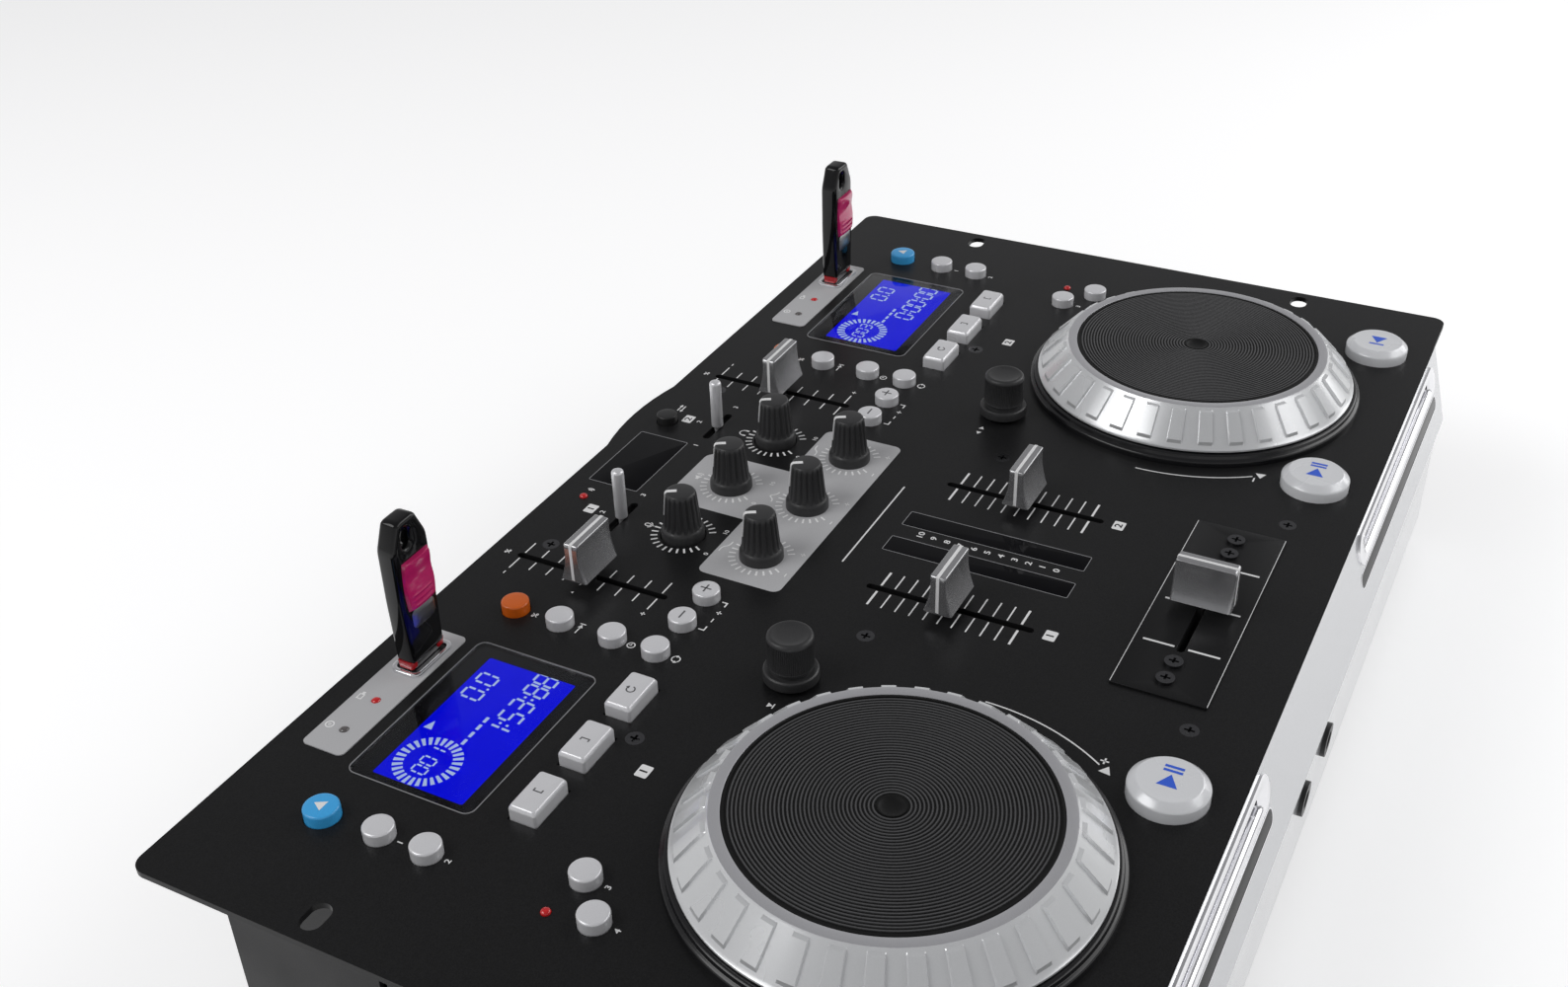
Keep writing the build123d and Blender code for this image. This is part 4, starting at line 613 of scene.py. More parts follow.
def knob(name):
    """A turned profile with shallow scallops: the depth is a cosine round the knob, cut off above
    zero, and fades out at the collar and at the top edge. The white pointer is a ribbon laid over
    the top and down the back of the taper."""
    node = f"knob_{name}"
    centre, top = node_middle(node), node_top(node)
    foot = max(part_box(node)[0].z / MM, UNDER - 2)
    tall = top - FACE
    collar = [(7.6, foot), (7.75, FACE - 0.6), (7.75, FACE + 1.2), (7.62, FACE + 3.0), (7.25, FACE + 3.75),
              (6.85, FACE + 4.1)]
    heights = np.linspace(4.6, tall - 1.1, 14)
    taper = [(float(knob_radius(h, tall)), FACE + h) for h in heights]
    crown = [(5.32, top - 0.75), (5.12, top - 0.35), (4.8, top - 0.1), (4.4, top), (0.3, top - 0.05)]

    def scallops(angle, z):
        fade = np.clip((z - FACE - 4.3) / 1.2, 0, 1) * np.clip((top - 0.5 - z) / 1.5, 0, 1)
        return KNOB_FLUTE_DEPTH * fade * np.maximum(np.cos(KNOB_FLUTES * angle + np.pi), -0.2)

    body = turned(centre, collar + taper + crown, 216, scallops)
    # the pointer's path, from near the middle of the top outwards and down
    side = [(float(knob_radius(h, tall)), FACE + h) for h in (tall - 1.0, 11.0, 9.0)]
    path = np.array([(1.2, top), (3.6, top), (4.75, top - 0.1), (5.2, top - 0.45)] + side)
    pointer = ribbon(path, POINTER_W, POINTER_SUNK, POINTER_PROUD)
    stand = Matrix.Translation((*centre, 0)) @ Matrix.Rotation(POINTER_TURN, 4, "Z")
    parts = [(body, KNOB_BLACK), (placed(pointer, stand), PRINT_AND_GLINT_WHITE)]
    piece(f"{node}_cap", node, parts, [node])


def browse_knob(deck):
    """A turned profile on a wide base; fine ribs round its side are a cosine of the angle."""
    node = f"encoder_knob_{deck}"
    centre, top = node_middle(node), node_top(node)
    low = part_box(node)[0].z / MM
    base_top = low + 3.6
    profile = [
        (3.2, low), (8.7, low), (9.0, low + 0.3), (9.0, base_top - 0.9), (8.8, base_top - 0.35),
        (8.3, base_top), (7.0, base_top + 0.05), (6.9, base_top + 0.9), (7.25, base_top + 1.1),
        (7.5, base_top + 1.4), (7.5, base_top + 1.9), (7.5, base_top + 2.1), (7.45, top - 1.9),
        (7.45, top - 1.7), (7.45, top - 1.2), (7.25, top - 0.6), (6.8, top - 0.2), (6.3, top),
        (5.7, top - 0.1), (5.2, top - 0.35), (3.5, top - 0.62), (1.5, top - 0.75), (0.3, top - 0.78),
    ]

    def ribs(angle, z):
        inside = (z > base_top + 2.0) & (z < top - 1.75)
        return np.where(inside, 0.11 * (1 + np.cos(72 * angle)), 0.0)

    body = turned(centre, profile, 432, ribs)
    piece(f"{node}_cap", node, [(body, KNOB_BLACK)], [node])


def source_lever(deck):
    """A turned chrome rod with a domed end, on a thin neck."""
    node = f"source_lever_{deck}"
    centre, top = node_middle(node), node_top(node)
    neck, radius = 1.2, 2.25
    profile = [(neck, UNDER - 5), (neck, FACE + 0.4), (radius - 0.2, FACE + 0.4), (radius, FACE + 0.7),
               (radius, top - 1.2), (radius - 0.1, top - 0.75), (radius - 0.35, top - 0.35),
               (radius - 0.8, top - 0.08), (radius - 1.3, top), (0.2, top)]
    piece(f"{node}_rod", node, [(turned(centre, profile, 64), LEVER_SATIN)], [node])


# ================================================================ fader caps
CAP_L, CAP_BASE, CAP_TOP, CAP_HOLLOW, CAP_EDGE = 20.0, 10.0, 5.6, 0.9, 0.55
CAP_LINE_W, CAP_LINE_BEND = 1.1, 0.5


def cap_half_width(z, low, high):
    """Half a cap's width at a height: a straight taper less a shallow parabola, and a quarter circle
    at the top edge."""
    t = (z - low) / (high - low)
    half = CAP_BASE / 2 + (CAP_TOP - CAP_BASE) / 2 * t - 4 * CAP_HOLLOW * t * (1 - t)
    into = np.clip((z - (high - CAP_EDGE)) / CAP_EDGE, 0, 1)
    return half - CAP_EDGE * (1 - np.sqrt(1 - into**2))


def fader_cap(node, along):
    """Sections across the cap, carried from end to end and drawn in a little at each end; a ribbon
    for the white line runs up one end, over the top and down the other. A steel blade goes down
    into the slot. The cap is drawn along x, as it stands on a fader that slides along y."""
    low, high = FACE + 4.0, node_top(node)
    ends = np.array([0.0, 0.12, 0.35, 0.7, 1.2])
    run = np.concatenate([-CAP_L / 2 + ends, CAP_L / 2 - ends[::-1]])
    draw = 0.7 * (1 - np.minimum(np.abs(np.abs(run) - CAP_L / 2) / 0.7, 1)) ** 2
    bend = np.linspace(0.25, 1, 5) * TURN / 4
    z = np.concatenate([np.linspace(low, high - CAP_EDGE, 14), high - CAP_EDGE * (1 - np.sin(bend))])
    half = cap_half_width(z, low, high)
    level = np.concatenate([z, z[::-1]])
    rows = np.empty((len(run), len(level), 3))
    rows[:, :, 0] = run[:, None]
    rows[:, :, 1] = np.concatenate([half, -half[::-1]]) * (1 - draw[:, None] / 5)
    rows[:, :, 2] = level - draw[:, None] * (level - low) / (high - low) * 0.8
    corner = np.linspace(0, TURN / 4, 5)
    up = (-CAP_L / 2, high) + CAP_LINE_BEND * np.stack([1 - np.cos(corner), np.sin(corner) - 1], -1)
    path = np.concatenate([[(-CAP_L / 2, low + 0.5)], up, up[::-1] * (-1, 1), [(CAP_L / 2, low + 0.5)]])
    blade = stacked((0, 0), [(0.7, 2.0, 0.2, UNDER - 6), (0.7, 2.0, 0.2, low + 0.5)])
    turn = Matrix.Rotation(0 if along == "y" else TURN / 4, 4, "Z")
    stand = Matrix.Translation((*node_middle(node), 0)) @ turn
    # the ribbon is made along y, so it is turned to lie along x
    ribbon_stand = stand @ Matrix.Rotation(-TURN / 4, 4, "Z")
    parts = [(placed(skin(rows), stand), CAP_GREY),
             (placed(ribbon(path, CAP_LINE_W, 0.6, 0.07), ribbon_stand), PRINT_AND_GLINT_WHITE),
             (placed(blade, stand), STEEL)]
    piece(f"{node}_body", node, parts, [node])


# ================================================================ jog wheels
JOG_PADS = 33
RIM_OUT, RIM_IN = 49.7, 46.3
GROOVE_PITCH, GROOVE_DEPTH, RIDGE_W = 1.15, 0.3, 0.62
PAD_LIFT = 0.85


def jog_ring(deck):
    """The silver ring: a turned profile whose slope carries raised pads. The lift is a product of
    two steps with soft edges, one down the slope and one round the wheel."""
    node = f"jog_ring_{deck}"
    centre = node_middle(node)
    top = node_top(node)
    edge_top, foot = FACE + 5.8, FACE + 4.6
    slope = np.array([0.0, 0.03, 0.07, 0.10, 0.14, 0.35, 0.6, 0.84, 0.88, 0.91, 0.95, 1.0])
    start, end = np.array([RIM_OUT, top - 0.1]), np.array([60.6, edge_top])
    along = start + slope[:, None] * (end - start)
    lift_down = np.interp(slope, [0.07, 0.14, 0.84, 0.91], [0, 1, 1, 0])
    rim = [(RIM_OUT - 0.05, top - 0.02), (RIM_OUT - 0.4, top + 0.03), (RIM_IN + 0.35, top + 0.03),
           (RIM_IN + 0.06, top - 0.15), (RIM_IN + 0.05, top - 2.4)]
    under = [(RIM_IN + 0.05, top - 4.4), (59.0, foot), (60.7, foot), (61.0, foot + 0.25),
             (61.0, edge_top - 0.3)]
    profile = np.array(under + [tuple(p) for p in along[::-1]] + rim)
    lifts = np.concatenate([np.zeros(len(under)), lift_down[::-1], np.zeros(len(rim))])
    within = np.array([0.0, 0.05, 0.09, 0.12, 0.16, 0.25, 0.40, 0.52, 0.56, 0.59, 0.63, 0.80])
    shares = (np.arange(JOG_PADS)[:, None] + within).ravel() / JOG_PADS
    lift_round = np.tile(np.interp(within, [0.09, 0.12, 0.56, 0.59], [0, 1, 1, 0]), JOG_PADS)
    normal = np.array([end[1] - start[1], start[0] - end[0]])
    normal = -normal / np.linalg.norm(normal)
    lift = PAD_LIFT * lifts[:, None] * lift_round
    radius = profile[:, 0][:, None] + normal[0] * lift
    z = profile[:, 1][:, None] + normal[1] * lift
    angle = shares * TURN
    rows = np.stack([centre[0] + radius * np.cos(angle), centre[1] + radius * np.sin(angle), z], -1)
    # the flat rim takes a darker silver than the slope: painted shade for the duller look of its flat top
    rim_top = turned(centre, [
        (RIM_OUT - 0.02, top - 0.25), (RIM_OUT - 0.02, top - 0.02), (RIM_OUT - 0.4, top + 0.06),
        (RIM_IN + 0.4, top + 0.06), (RIM_IN + 0.04, top - 0.12), (RIM_IN + 0.04, top - 0.25),
    ], 192, closed=True)
    parts = [(skin(rows, closed=True), JOG_SILVER), (rim_top, JOG_RIM_SHADED)]
    piece(f"{node}_shell", f"jog_{deck}", parts, [node])


def jog_disc(deck):
    """The black disc: a turned profile with a sunken face and a dished middle, and on the face narrow
    ridges at an even pitch, each a turned ring with slanted sides. The ridges are painted a lighter
    black and the face a darker one: painted sheen on the crests and painted shade in the grooves."""
    node = f"jog_disc_{deck}"
    centre, top = node_middle(node), node_top(node)
    inner, outer = 4.6, 44.9
    floor = top - GROOVE_DEPTH
    dish = [(3.9, top), (3.6, top - 0.12), (3.2, top - 0.34), (2.5, top - 0.56), (1.6, top - 0.72),
            (0.3, top - 0.8)]
    profile = [(RIM_IN - 0.1, top - 2.3), (RIM_IN - 0.1, top - 0.25), (RIM_IN - 0.3, top - 0.02),
               (outer + 0.4, top), (outer + 0.3, floor), (inner - 0.2, floor), (inner - 0.3, top)] + dish
    half = RIDGE_W / 2
    ridges = [turned(centre, [(r + half, floor - 0.05), (r + half - 0.1, top), (r - half + 0.1, top),
                              (r - half, floor - 0.05)], 160, closed=True)
              for r in np.arange(inner + 0.6, outer, GROOVE_PITCH)]
    # the ridges take a lighter black and the sunken face a darker one: painted sheen and painted shade
    parts = [(turned(centre, profile, 160), JOG_BLACK_SHADED), (joined(*ridges), JOG_RIDGE_SHEEN)]
    piece(f"{node}_face", f"jog_{deck}", parts, [node])


def jog_bases():
    """The black rings that the wheels stand in: a turned profile with two rounded steps."""
    rings = []
    for box in solids("jog_base_rings"):
        radius, top = half_size(box)[0], box[1][2]
        profile = [(RIM_OUT, FACE), (radius, FACE), (radius, FACE + 1.6), (radius - 0.12, FACE + 2.1),
                   (radius - 0.5, FACE + 2.5), (radius - 1.0, FACE + 2.65), (radius - 1.25, FACE + 2.8),
                   (radius - 1.4, FACE + 3.2), (radius - 1.6, top - 0.35), (radius - 2.0, top - 0.08),
                   (radius - 2.5, top), (radius - 8, top), (RIM_OUT, top - 0.2)]
        rings.append((turned(middle(box), profile, 192, closed=True), BASE_BLACK))
    piece("jog_base_shells", "player", rings, ["jog_base_rings"])


# ================================================================ displays and windows
LCD_HALF_L, LCD_HALF_W = 29.6, 16.3
SEGMENTS = {"0": "abcdef", "1": "bc", "2": "abged", "3": "abgcd", "4": "fgbc", "5": "afgcd",
            "6": "afgedc", "7": "abc", "8": "abcdefg", "9": "abcdfg"}
SLANT = 0.06


def rectangle(x0, y0, x1, y1):
    return [(x0, y0), (x1, y0), (x1, y1), (x0, y1)]


def segment_bars(text, x, y, wide, tall, thick, gap):
    """The bars of seven-segment figures that start at x with their foot on y: each bar is a thin
    four-cornered plate, leaning by the slant. A dot or colon takes a third of a figure's width."""
    cells = {
        "a": ((0, tall), (wide, tall)), "g": ((0, tall / 2), (wide, tall / 2)), "d": ((0, 0), (wide, 0)),
        "f": ((0, tall / 2), (0, tall)), "b": ((wide, tall / 2), (wide, tall)),
        "e": ((0, 0), (0, tall / 2)), "c": ((wide, 0), (wide, tall / 2)),
    }
    found = []
    for sign in text:
        if sign in ".:":
            for h in (0.0,) if sign == "." else (0.28 * tall, 0.62 * tall):
                found.append(rectangle(x, h, x + thick, h + thick))
            x += thick + gap
            continue
        for key in SEGMENTS[sign]:
            (x0, y0), (x1, y1) = cells[key]
            # a bar stops short of its ends by a share of its thickness, and is half of it to each side
            dx, dy = np.sign(x1 - x0) * thick * 0.62, np.sign(y1 - y0) * thick * 0.62
            px, py = (0, thick / 2) if dx else (thick / 2, 0)
            found.append(rectangle(x + x0 + dx - px, y0 + dy - py, x + x1 - dx + px, y1 - dy + py))
        x += wide + gap
    bars_found = np.array(found, float)
    bars_found[..., 0] += SLANT * bars_found[..., 1]
    bars_found[..., 1] += y
    return bars_found


def lcd_marks(deck, left, top):
    """What the display shows: a ring of short bars round the track number, a play sign, the pitch,
    four dashes and the time."""
    tracks, times = {"a": "001", "b": "003"}, {"a": "1:53:88", "b": "0:00:00"}
    ring_x, ring_y, ring_in, ring_out = left + 10.9, top - 12.1, 7.4, 10.6
    angle = np.arange(28) * TURN / 28 + TURN / 56
    spread = np.array([[-0.058, ring_in], [-0.062, ring_out], [0.062, ring_out], [0.058, ring_in]])
    a, r = angle[:, None] + spread[:, 0], spread[:, 1] + 0 * angle[:, None]
    ring = np.stack([ring_x + r * np.cos(a), ring_y + r * np.sin(a)], -1)
    dashes = [rectangle(x, top - 17.2, x + 2.5, top - 16.1) for x in left + 21.4 + 3.7 * np.arange(4)]
    return np.concatenate([
        ring, dashes,
        segment_bars(tracks[deck], left + 5.4, top - 14.6, 2.9, 5.0, 0.6, 1.2),
        segment_bars("0.0", left + 39.8, top - 9.0, 4.3, 6.9, 0.8, 1.3),
        segment_bars(times[deck], left + 28.2, top - 26.6, 4.2, 7.7, 0.85, 1.35),
    ])


def displays():
    """Per deck: a dark mask under the clear pane, the lit face with its marks, a thin pale line round
    the pane as a painted highlight of its edge, and the pane."""
    panes = []
    for deck, window, module in zip(DECKS, solids("display_windows"), solids("lcd_modules")):
        (x, y), top = middle(module), module[1][2]
        (wx, wy), (half_l, half_w) = middle(window), half_size(window)
        z_low, z_high = window[0][2], window[1][2]
        panes.append((stacked((wx, wy), [
            (half_l, half_w, 3.0, z_low), (half_l, half_w, 3.0, z_high - 0.25),
            (half_l - 0.1, half_w - 0.1, 2.9, z_high - 0.07), (half_l - 0.3, half_w - 0.3, 2.7, z_high),
        ]), CLEAR))
        face = stacked((x, y), [(LCD_HALF_L, LCD_HALF_W, 0.6, top + lift) for lift in (0, 0.06)])
        marks = prisms(lcd_marks(deck, x - LCD_HALF_L, y + LCD_HALF_W), top + 0.02, top + 0.1)
        arrow = [(x - 6.8, y + 15.0), (x - 6.8, y + 12.0), (x - 3.0, y + 13.4)]
        play = prisms([arrow], top + 0.02, top + 0.1)
        piece(f"lcd_face_{deck}", "player", [(face, LCD_BLUE), (joined(marks, play), LCD_PALE)])
        hole = outline(LCD_HALF_L, LCD_HALF_W, 0.8) + (x, y)
        rim = outline(half_l - 0.1, half_w - 0.1, 2.9) + (wx, wy)
        rows = np.empty((4, len(rim), 3))
        rows[[0, 1], :, :2], rows[[2, 3], :, :2] = rim, hole
        rows[:, :, 2] = np.array([top + 0.12, z_low - 0.05, z_low - 0.05, top + 0.12])[:, None]
        # the pale line round the pane is a painted highlight of the pane's edge
        edge = stroke(outline(half_l + 0.12, half_w + 0.12, 3.1) + (wx, wy), 0.26, FACE - 0.4, z_high,
                      closed=True)
        parts = [(skin(rows, closed=True), MASK), (edge, WINDOW_EDGE_GLINT)]
        piece(f"display_mask_{deck}", "player", parts)
    piece("display_panes", "player", panes, ["display_windows"])


def smoked_windows():
    """The two meter windows and the one behind them: flat tiles with a fine polished bevel, and a
    thin pale line round each, a painted highlight of its edge."""
    tiles = []
    for box in solids("smoked_windows"):
        (half_l, half_w), top = half_size(box), box[1][2]
        tiles.append((stacked(middle(box), [
            (half_l, half_w, 0.5, box[0][2]), (half_l, half_w, 0.5, top - 0.22),
            (half_l - 0.05, half_w - 0.05, 0.5, top - 0.06), (half_l - 0.3, half_w - 0.3, 0.5, top),
        ]), SMOKED))
        rim = outline(half_l + 0.1, half_w + 0.1, 0.6) + middle(box)
        # the pale line round the tile is a painted highlight of its edge
        tiles.append((line(rim, 0.24, top, closed=True), WINDOW_EDGE_GLINT))
    piece("smoked_tiles", "player", tiles, ["smoked_windows"])


# ================================================================ USB sockets and flash drives
def usb_sockets():
    """A bright rounded rim round a dark well, and a plated shell below it."""
    parts = []
    for plate, box in zip(solids("usb_plates"), solids("usb_sockets")):
        centre, low = middle(box), plate[1][2]
        (half_l, half_w), top = half_size(box), box[1][2]
        well_l, well_w = half_l - 1.7, half_w - 1.45
        parts.append((stacked(centre, [
            (well_l, well_w, 1.8, low), (half_l, half_w, 3.0, low), (half_l, half_w, 3.0, top - 0.55),
            (half_l - 0.15, half_w - 0.15, 2.9, top - 0.2), (half_l - 0.5, half_w - 0.5, 2.6, top),
            (well_l + 0.5, well_w + 0.5, 2.2, top), (well_l + 0.12, well_w + 0.12, 1.9, top - 0.2),
            (well_l, well_w, 1.8, top - 0.5),
        ], closed=True), BRIGHT_TRIM))
        # the floor of the well, with the opening for a plug
        parts.append((stacked(centre, [
            (6.3, 2.6, 0.3, low), (well_l + 0.3, well_w + 0.3, 1.8, low),
            (well_l + 0.3, well_w + 0.3, 1.8, low + 0.35), (6.3, 2.6, 0.3, low + 0.35),
        ], closed=True), SOCKET_BLACK))
        # the shell's sides, and its floor
        deep = box[0][2]
        parts.append((stacked(centre, [
            (6.25, 2.5, 0.2, deep + 1), (7.0, 3.3, 0.3, deep + 1), (7.0, 3.3, 0.3, low - 0.02),
            (6.25, 2.5, 0.2, low - 0.02),
        ], closed=True), STEEL))
        parts.append((stacked(centre, [(7.0, 3.3, 0.3, deep), (7.0, 3.3, 0.3, deep + 0.98)]), STEEL))
    piece("usb_socket_rims", "player", parts, ["usb_sockets"])


def flash_drive(deck):
    """A glossy stick cut from its side outline with a hole for a cord, a pink slide on its front,
    red cheeks at its foot and a plated plug."""
    node = f"usb_stick_{deck}"
    x, y = node_middle(node)
    low, half_l, half_t = FACE + 3.6, 8.5, 3.5
    tall = node_top(node) - low
    # the outline, in the stick's own x and height: straight sides, slanted shoulders, round corners
    corners = np.array([(-7.9, 0), (7.9, 0), (half_l, tall * 0.45), (half_l - 0.2, tall - 9),
                        (4.6, tall - 0.6), (3.0, tall), (-3.0, tall), (-4.6, tall - 0.6),
                        (-half_l + 0.2, tall - 9), (-half_l, tall * 0.45)])
    hole = outline(1.7, 3.4, 1.6, 6) + (-1.5, tall - 6.6)
    body = cut_sheet([rounded_path(corners, 1.6), hole], 2 * half_t, 1.5)
    # the sheet lies flat, so it is stood up: its y becomes height and its thickness lies along y
    stand = Matrix.Translation((x, y, low)) @ Matrix.Rotation(TURN / 4, 4, "X")
    parts = [(placed(body, stand), STICK_BLACK)]
    front = Matrix.Translation((x, y - half_t, low)) @ Matrix.Rotation(TURN / 4, 4, "X")
    lip = stacked((0.5, tall * 0.31), [(5.4, 3.4, 1.8, -0.3), (5.4, 3.4, 1.8, 0.15), (5.0, 3.0, 1.5, 0.3),
                                      (1.0, 0.6, 0.4, 0.34)], per_corner=9)
    pad_stand = front @ Matrix.Translation((0.5, tall * 0.56, 0.1))
    parts += [(placed(lip, front), STEEL), (placed(slide_pad(), pad_stand), STICK_PINK)]
    for side in (-1, 1):
        cheek = stacked((x + side * 6.6, y), [(1.5, 2.6, 0.5, FACE + 1.9), (1.7, 2.8, 0.5, low + 1.0)])
        parts.append((cheek, STICK_RED))
    plug = stacked((x, y), [(6.0, 2.25, 0.25, FACE - 8.6), (6.0, 2.25, 0.25, low + 2)])
    parts.append((plug, BRIGHT_TRIM))
    piece(f"{node}_body", node, parts, [node], weld=True)


def slide_pad():
    """The slide's pad: a grid whose height is a hump across, a hollow for the thumb along, and three
    low ribs at the foot, with its border drawn down to the stick."""
    u, v = np.meshgrid(np.linspace(-1, 1, 25), np.linspace(-1, 1, 61))
    half_l, half_w = 6.9, 8.8
    height = 1.5 - 0.5 * u**2 - 0.6 * np.exp(-((v - 0.25) / 0.38) ** 2)
    ribbed = (np.abs(v + 0.62) < 0.3) & (np.abs(u) < 0.7)
    height = height + 0.22 * np.maximum(np.cos((v + 0.62) * TURN / 0.22), 0) * ribbed
    edge = (1 - u**6) * (1 - v**10)
    z = np.maximum(height, 0) * np.clip(edge * 3, 0, 1) ** 0.5
    x = half_l * u * (1 - 0.10 * v**2) + 0.15 * v
    top = np.stack([x, half_w * v, z], -1)
    rows, columns = top.shape[:2]
    bottom = top * (1, 1, 0) - (0, 0, 0.6)
    points = np.concatenate([bottom.reshape(-1, 3), top.reshape(-1, 3)])
    index = np.arange(rows * columns).reshape(rows, columns)
    up = index + rows * columns
    ring = np.concatenate([index[0, :-1], index[:-1, -1], index[-1, :0:-1], index[:0:-1, 0]])
    after, lift = np.roll(ring, -1), rows * columns
    quads = [np.stack([up[:-1, :-1], up[:-1, 1:], up[1:, 1:], up[1:, :-1]], -1),
             np.stack([index[:-1, :-1], index[1:, :-1], index[1:, 1:], index[:-1, 1:]], -1),
             np.stack([ring, after, after + lift, ring + lift], -1)]
    loops = np.concatenate([q.reshape(-1) for q in quads])
    return points, loops, np.full(len(loops) // 4, 4)


def rounded_path(corners, radius, steps=5):
    """A closed outline with each corner replaced by a curve: a parabola between two points at the
    radius from the corner, or at 0.4 of the shorter side if that is less."""
    p = np.array(corners, float)
    before, after = np.roll(p, 1, 0) - p, np.roll(p, -1, 0) - p
    len_b, len_a = np.linalg.norm(before, axis=1), np.linalg.norm(after, axis=1)
    reach = np.minimum(radius, 0.4 * np.minimum(len_b, len_a))[:, None]
    start, end = p + before / len_b[:, None] * reach, p + after / len_a[:, None] * reach
    t = np.linspace(0, 1, steps)[None, :, None]
    bend = start[:, None] * (1 - t) ** 2 + 2 * p[:, None] * t * (1 - t) + end[:, None] * t**2
    return bend.reshape(-1, 2)


# ================================================================ small pieces on the panel
def status_leds():
    """Turned lenses with a domed top. The disc lamps on the USB plates are unlit."""
    lenses = []
    plates = solids("usb_plates")
    for box in solids("status_leds"):
        x, y = middle(box)
        radius, top = half_size(box)[0], box[1][2]
        profile = [(radius, UNDER - 8), (radius, top - 0.75), (radius - 0.12, top - 0.45),
                   (radius - 0.45, top - 0.17), (radius - 0.9, top - 0.03), (0.2, top)]
        dark = any(p[0][0] < x < p[0][0] + 14 and p[0][1] < y < p[1][1] for p in plates)
        lenses.append((turned((x, y), profile, 32), LED_DARK if dark else LED_RED))
    piece("status_lenses", "player", lenses, ["status_leds"])


CROSS_SLOT_HALF, SLOT_HALF_W = 26.0, 1.3
PLATE_SCREWS_X, PLATE_HOLE_R = (-41.2, -32.3, 32.3, 41.2), 1.7


def crossfader_plate():
    """The crossfader's plate: a sheet with its slot and screw holes cut out and its edges broken, and thin
    white bars along its long edges as painted highlights.
    """
    lo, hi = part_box("crossfader_plate")
    x, y = node_middle("crossfader_plate")
    half_l, half_w = (hi.x - lo.x) / 2 / MM, (hi.y - lo.y) / 2 / MM
    thick = hi.z / MM - FACE
    cuts = [outline(half_l, half_w, 0.3, 3), outline(CROSS_SLOT_HALF, SLOT_HALF_W, SLOT_HALF_W, 8)]
    cuts += [arc((screw_x, 0), PLATE_HOLE_R, 0, 345, 24) for screw_x in PLATE_SCREWS_X]
    shape = placed(cut_sheet(cuts, thick, 0.18), Matrix.Translation((x, y, FACE + thick / 2)))
    # thin white bars along the long edges: painted highlights where the edges catch the light
    edges = bars([(x, y + half_w - 0.14), (x, y - half_w + 0.14)], (2 * half_l - 0.8, 0.22), hi.z / MM)
    parts = [(shape, PANEL_BLACK), (edges, PRINT_AND_GLINT_WHITE)]
    piece("crossfader_sheet", "player", parts, ["crossfader_plate"], weld=True)


FASCIA_SLOPE = math.radians(75.0)
FASCIA_Y, FASCIA_START = -134.2, 0.3     # where the slope begins, and how far under the panel's face
PILL_DROP, STRIP_DROP = 8.0, 19.0        # how far below the panel's face the trims' middles are


def slot_trims():
    """Bright pills round the disc slots, and dark strips with a pale edge let in below them. They
    are drawn flat and then laid on the fascia's slope."""
    pill = stacked((0, 0), [
        (62.0, 2.4, 0.6, -3.0), (71.0, 6.0, 5.9, -3.0), (71.0, 6.0, 5.9, 0.55),
        (70.9, 5.9, 5.8, 0.8), (70.6, 5.6, 5.5, 0.95), (70.2, 5.2, 5.1, 1.0),
        (63.8, 3.5, 1.8, 0.85), (62.6, 2.9, 1.1, 0.35), (62.0, 2.4, 0.6, -0.6),
    ], closed=True, per_corner=12)
    strip = stacked((0, 0), [(70.95, 2.95, 2.9, -1.1), (70.95, 2.95, 2.9, 0.02), (70.5, 2.5, 2.4, 0.05)],
                    per_corner=12)
    edge = stroke(outline(71.1, 3.1, 3.05, 12), 0.5, -0.05, 0.12, closed=True)
    parts = []
    for x in sorted({round(middle(box)[0], 1) for box in solids("slot_trims")}):
        for drop, shapes in ((PILL_DROP, [(pill, BRIGHT_TRIM)]),
                             (STRIP_DROP, [(strip, SMOKED), (edge, BRIGHT_TRIM)])):
            y = FASCIA_Y - (drop - FASCIA_START) / math.tan(FASCIA_SLOPE)
            stand = Matrix.Translation((x, y, FACE - drop)) @ Matrix.Rotation(FASCIA_SLOPE, 4, "X")
            parts += [(placed(shape, stand), material) for shape, material in shapes]
    piece("disc_slot_trims", "player", parts, ["slot_trims"])


def rear_sockets():
    """Plated sleeves on the phono sockets, with a red or white insulator in each end."""
    parts = []
    back = Matrix.Rotation(-TURN / 4, 4, "X")     # its z becomes y
    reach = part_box("connectors")[1].y / MM
    sleeve = turned((0, 0), [(3.3, 132.6), (5.6, 132.6), (5.6, 133.6), (4.6, 133.9), (4.25, 134.2),
                             (4.25, reach - 0.2), (4.1, reach + 0.03), (3.5, reach + 0.03),
                             (3.3, reach - 0.1)], 48, closed=True)
    insulator = turned((0, 0), [(1.7, 133.0), (3.3, 133.0), (3.3, reach + 0.02), (1.7, reach + 0.02)],
                       48, closed=True)
    for column in (-126.0, -98.0, -70.0, -42.0):
        for z, ring in ((60.0, RCA_WHITE), (42.0, RCA_RED)):
            stand = Matrix.Translation((column, 0, z)) @ back
            parts += [(placed(sleeve, stand), BRIGHT_TRIM), (placed(insulator, stand), ring)]
    piece("phono_sleeves", "player", parts)


# ================================================================ prints on the panel
THIN, FINE = 0.5, 0.7    # the widths of most lines, and of those round the knobs
PLATE_PROUD = 0.04       # how far the grey print stands on the panel


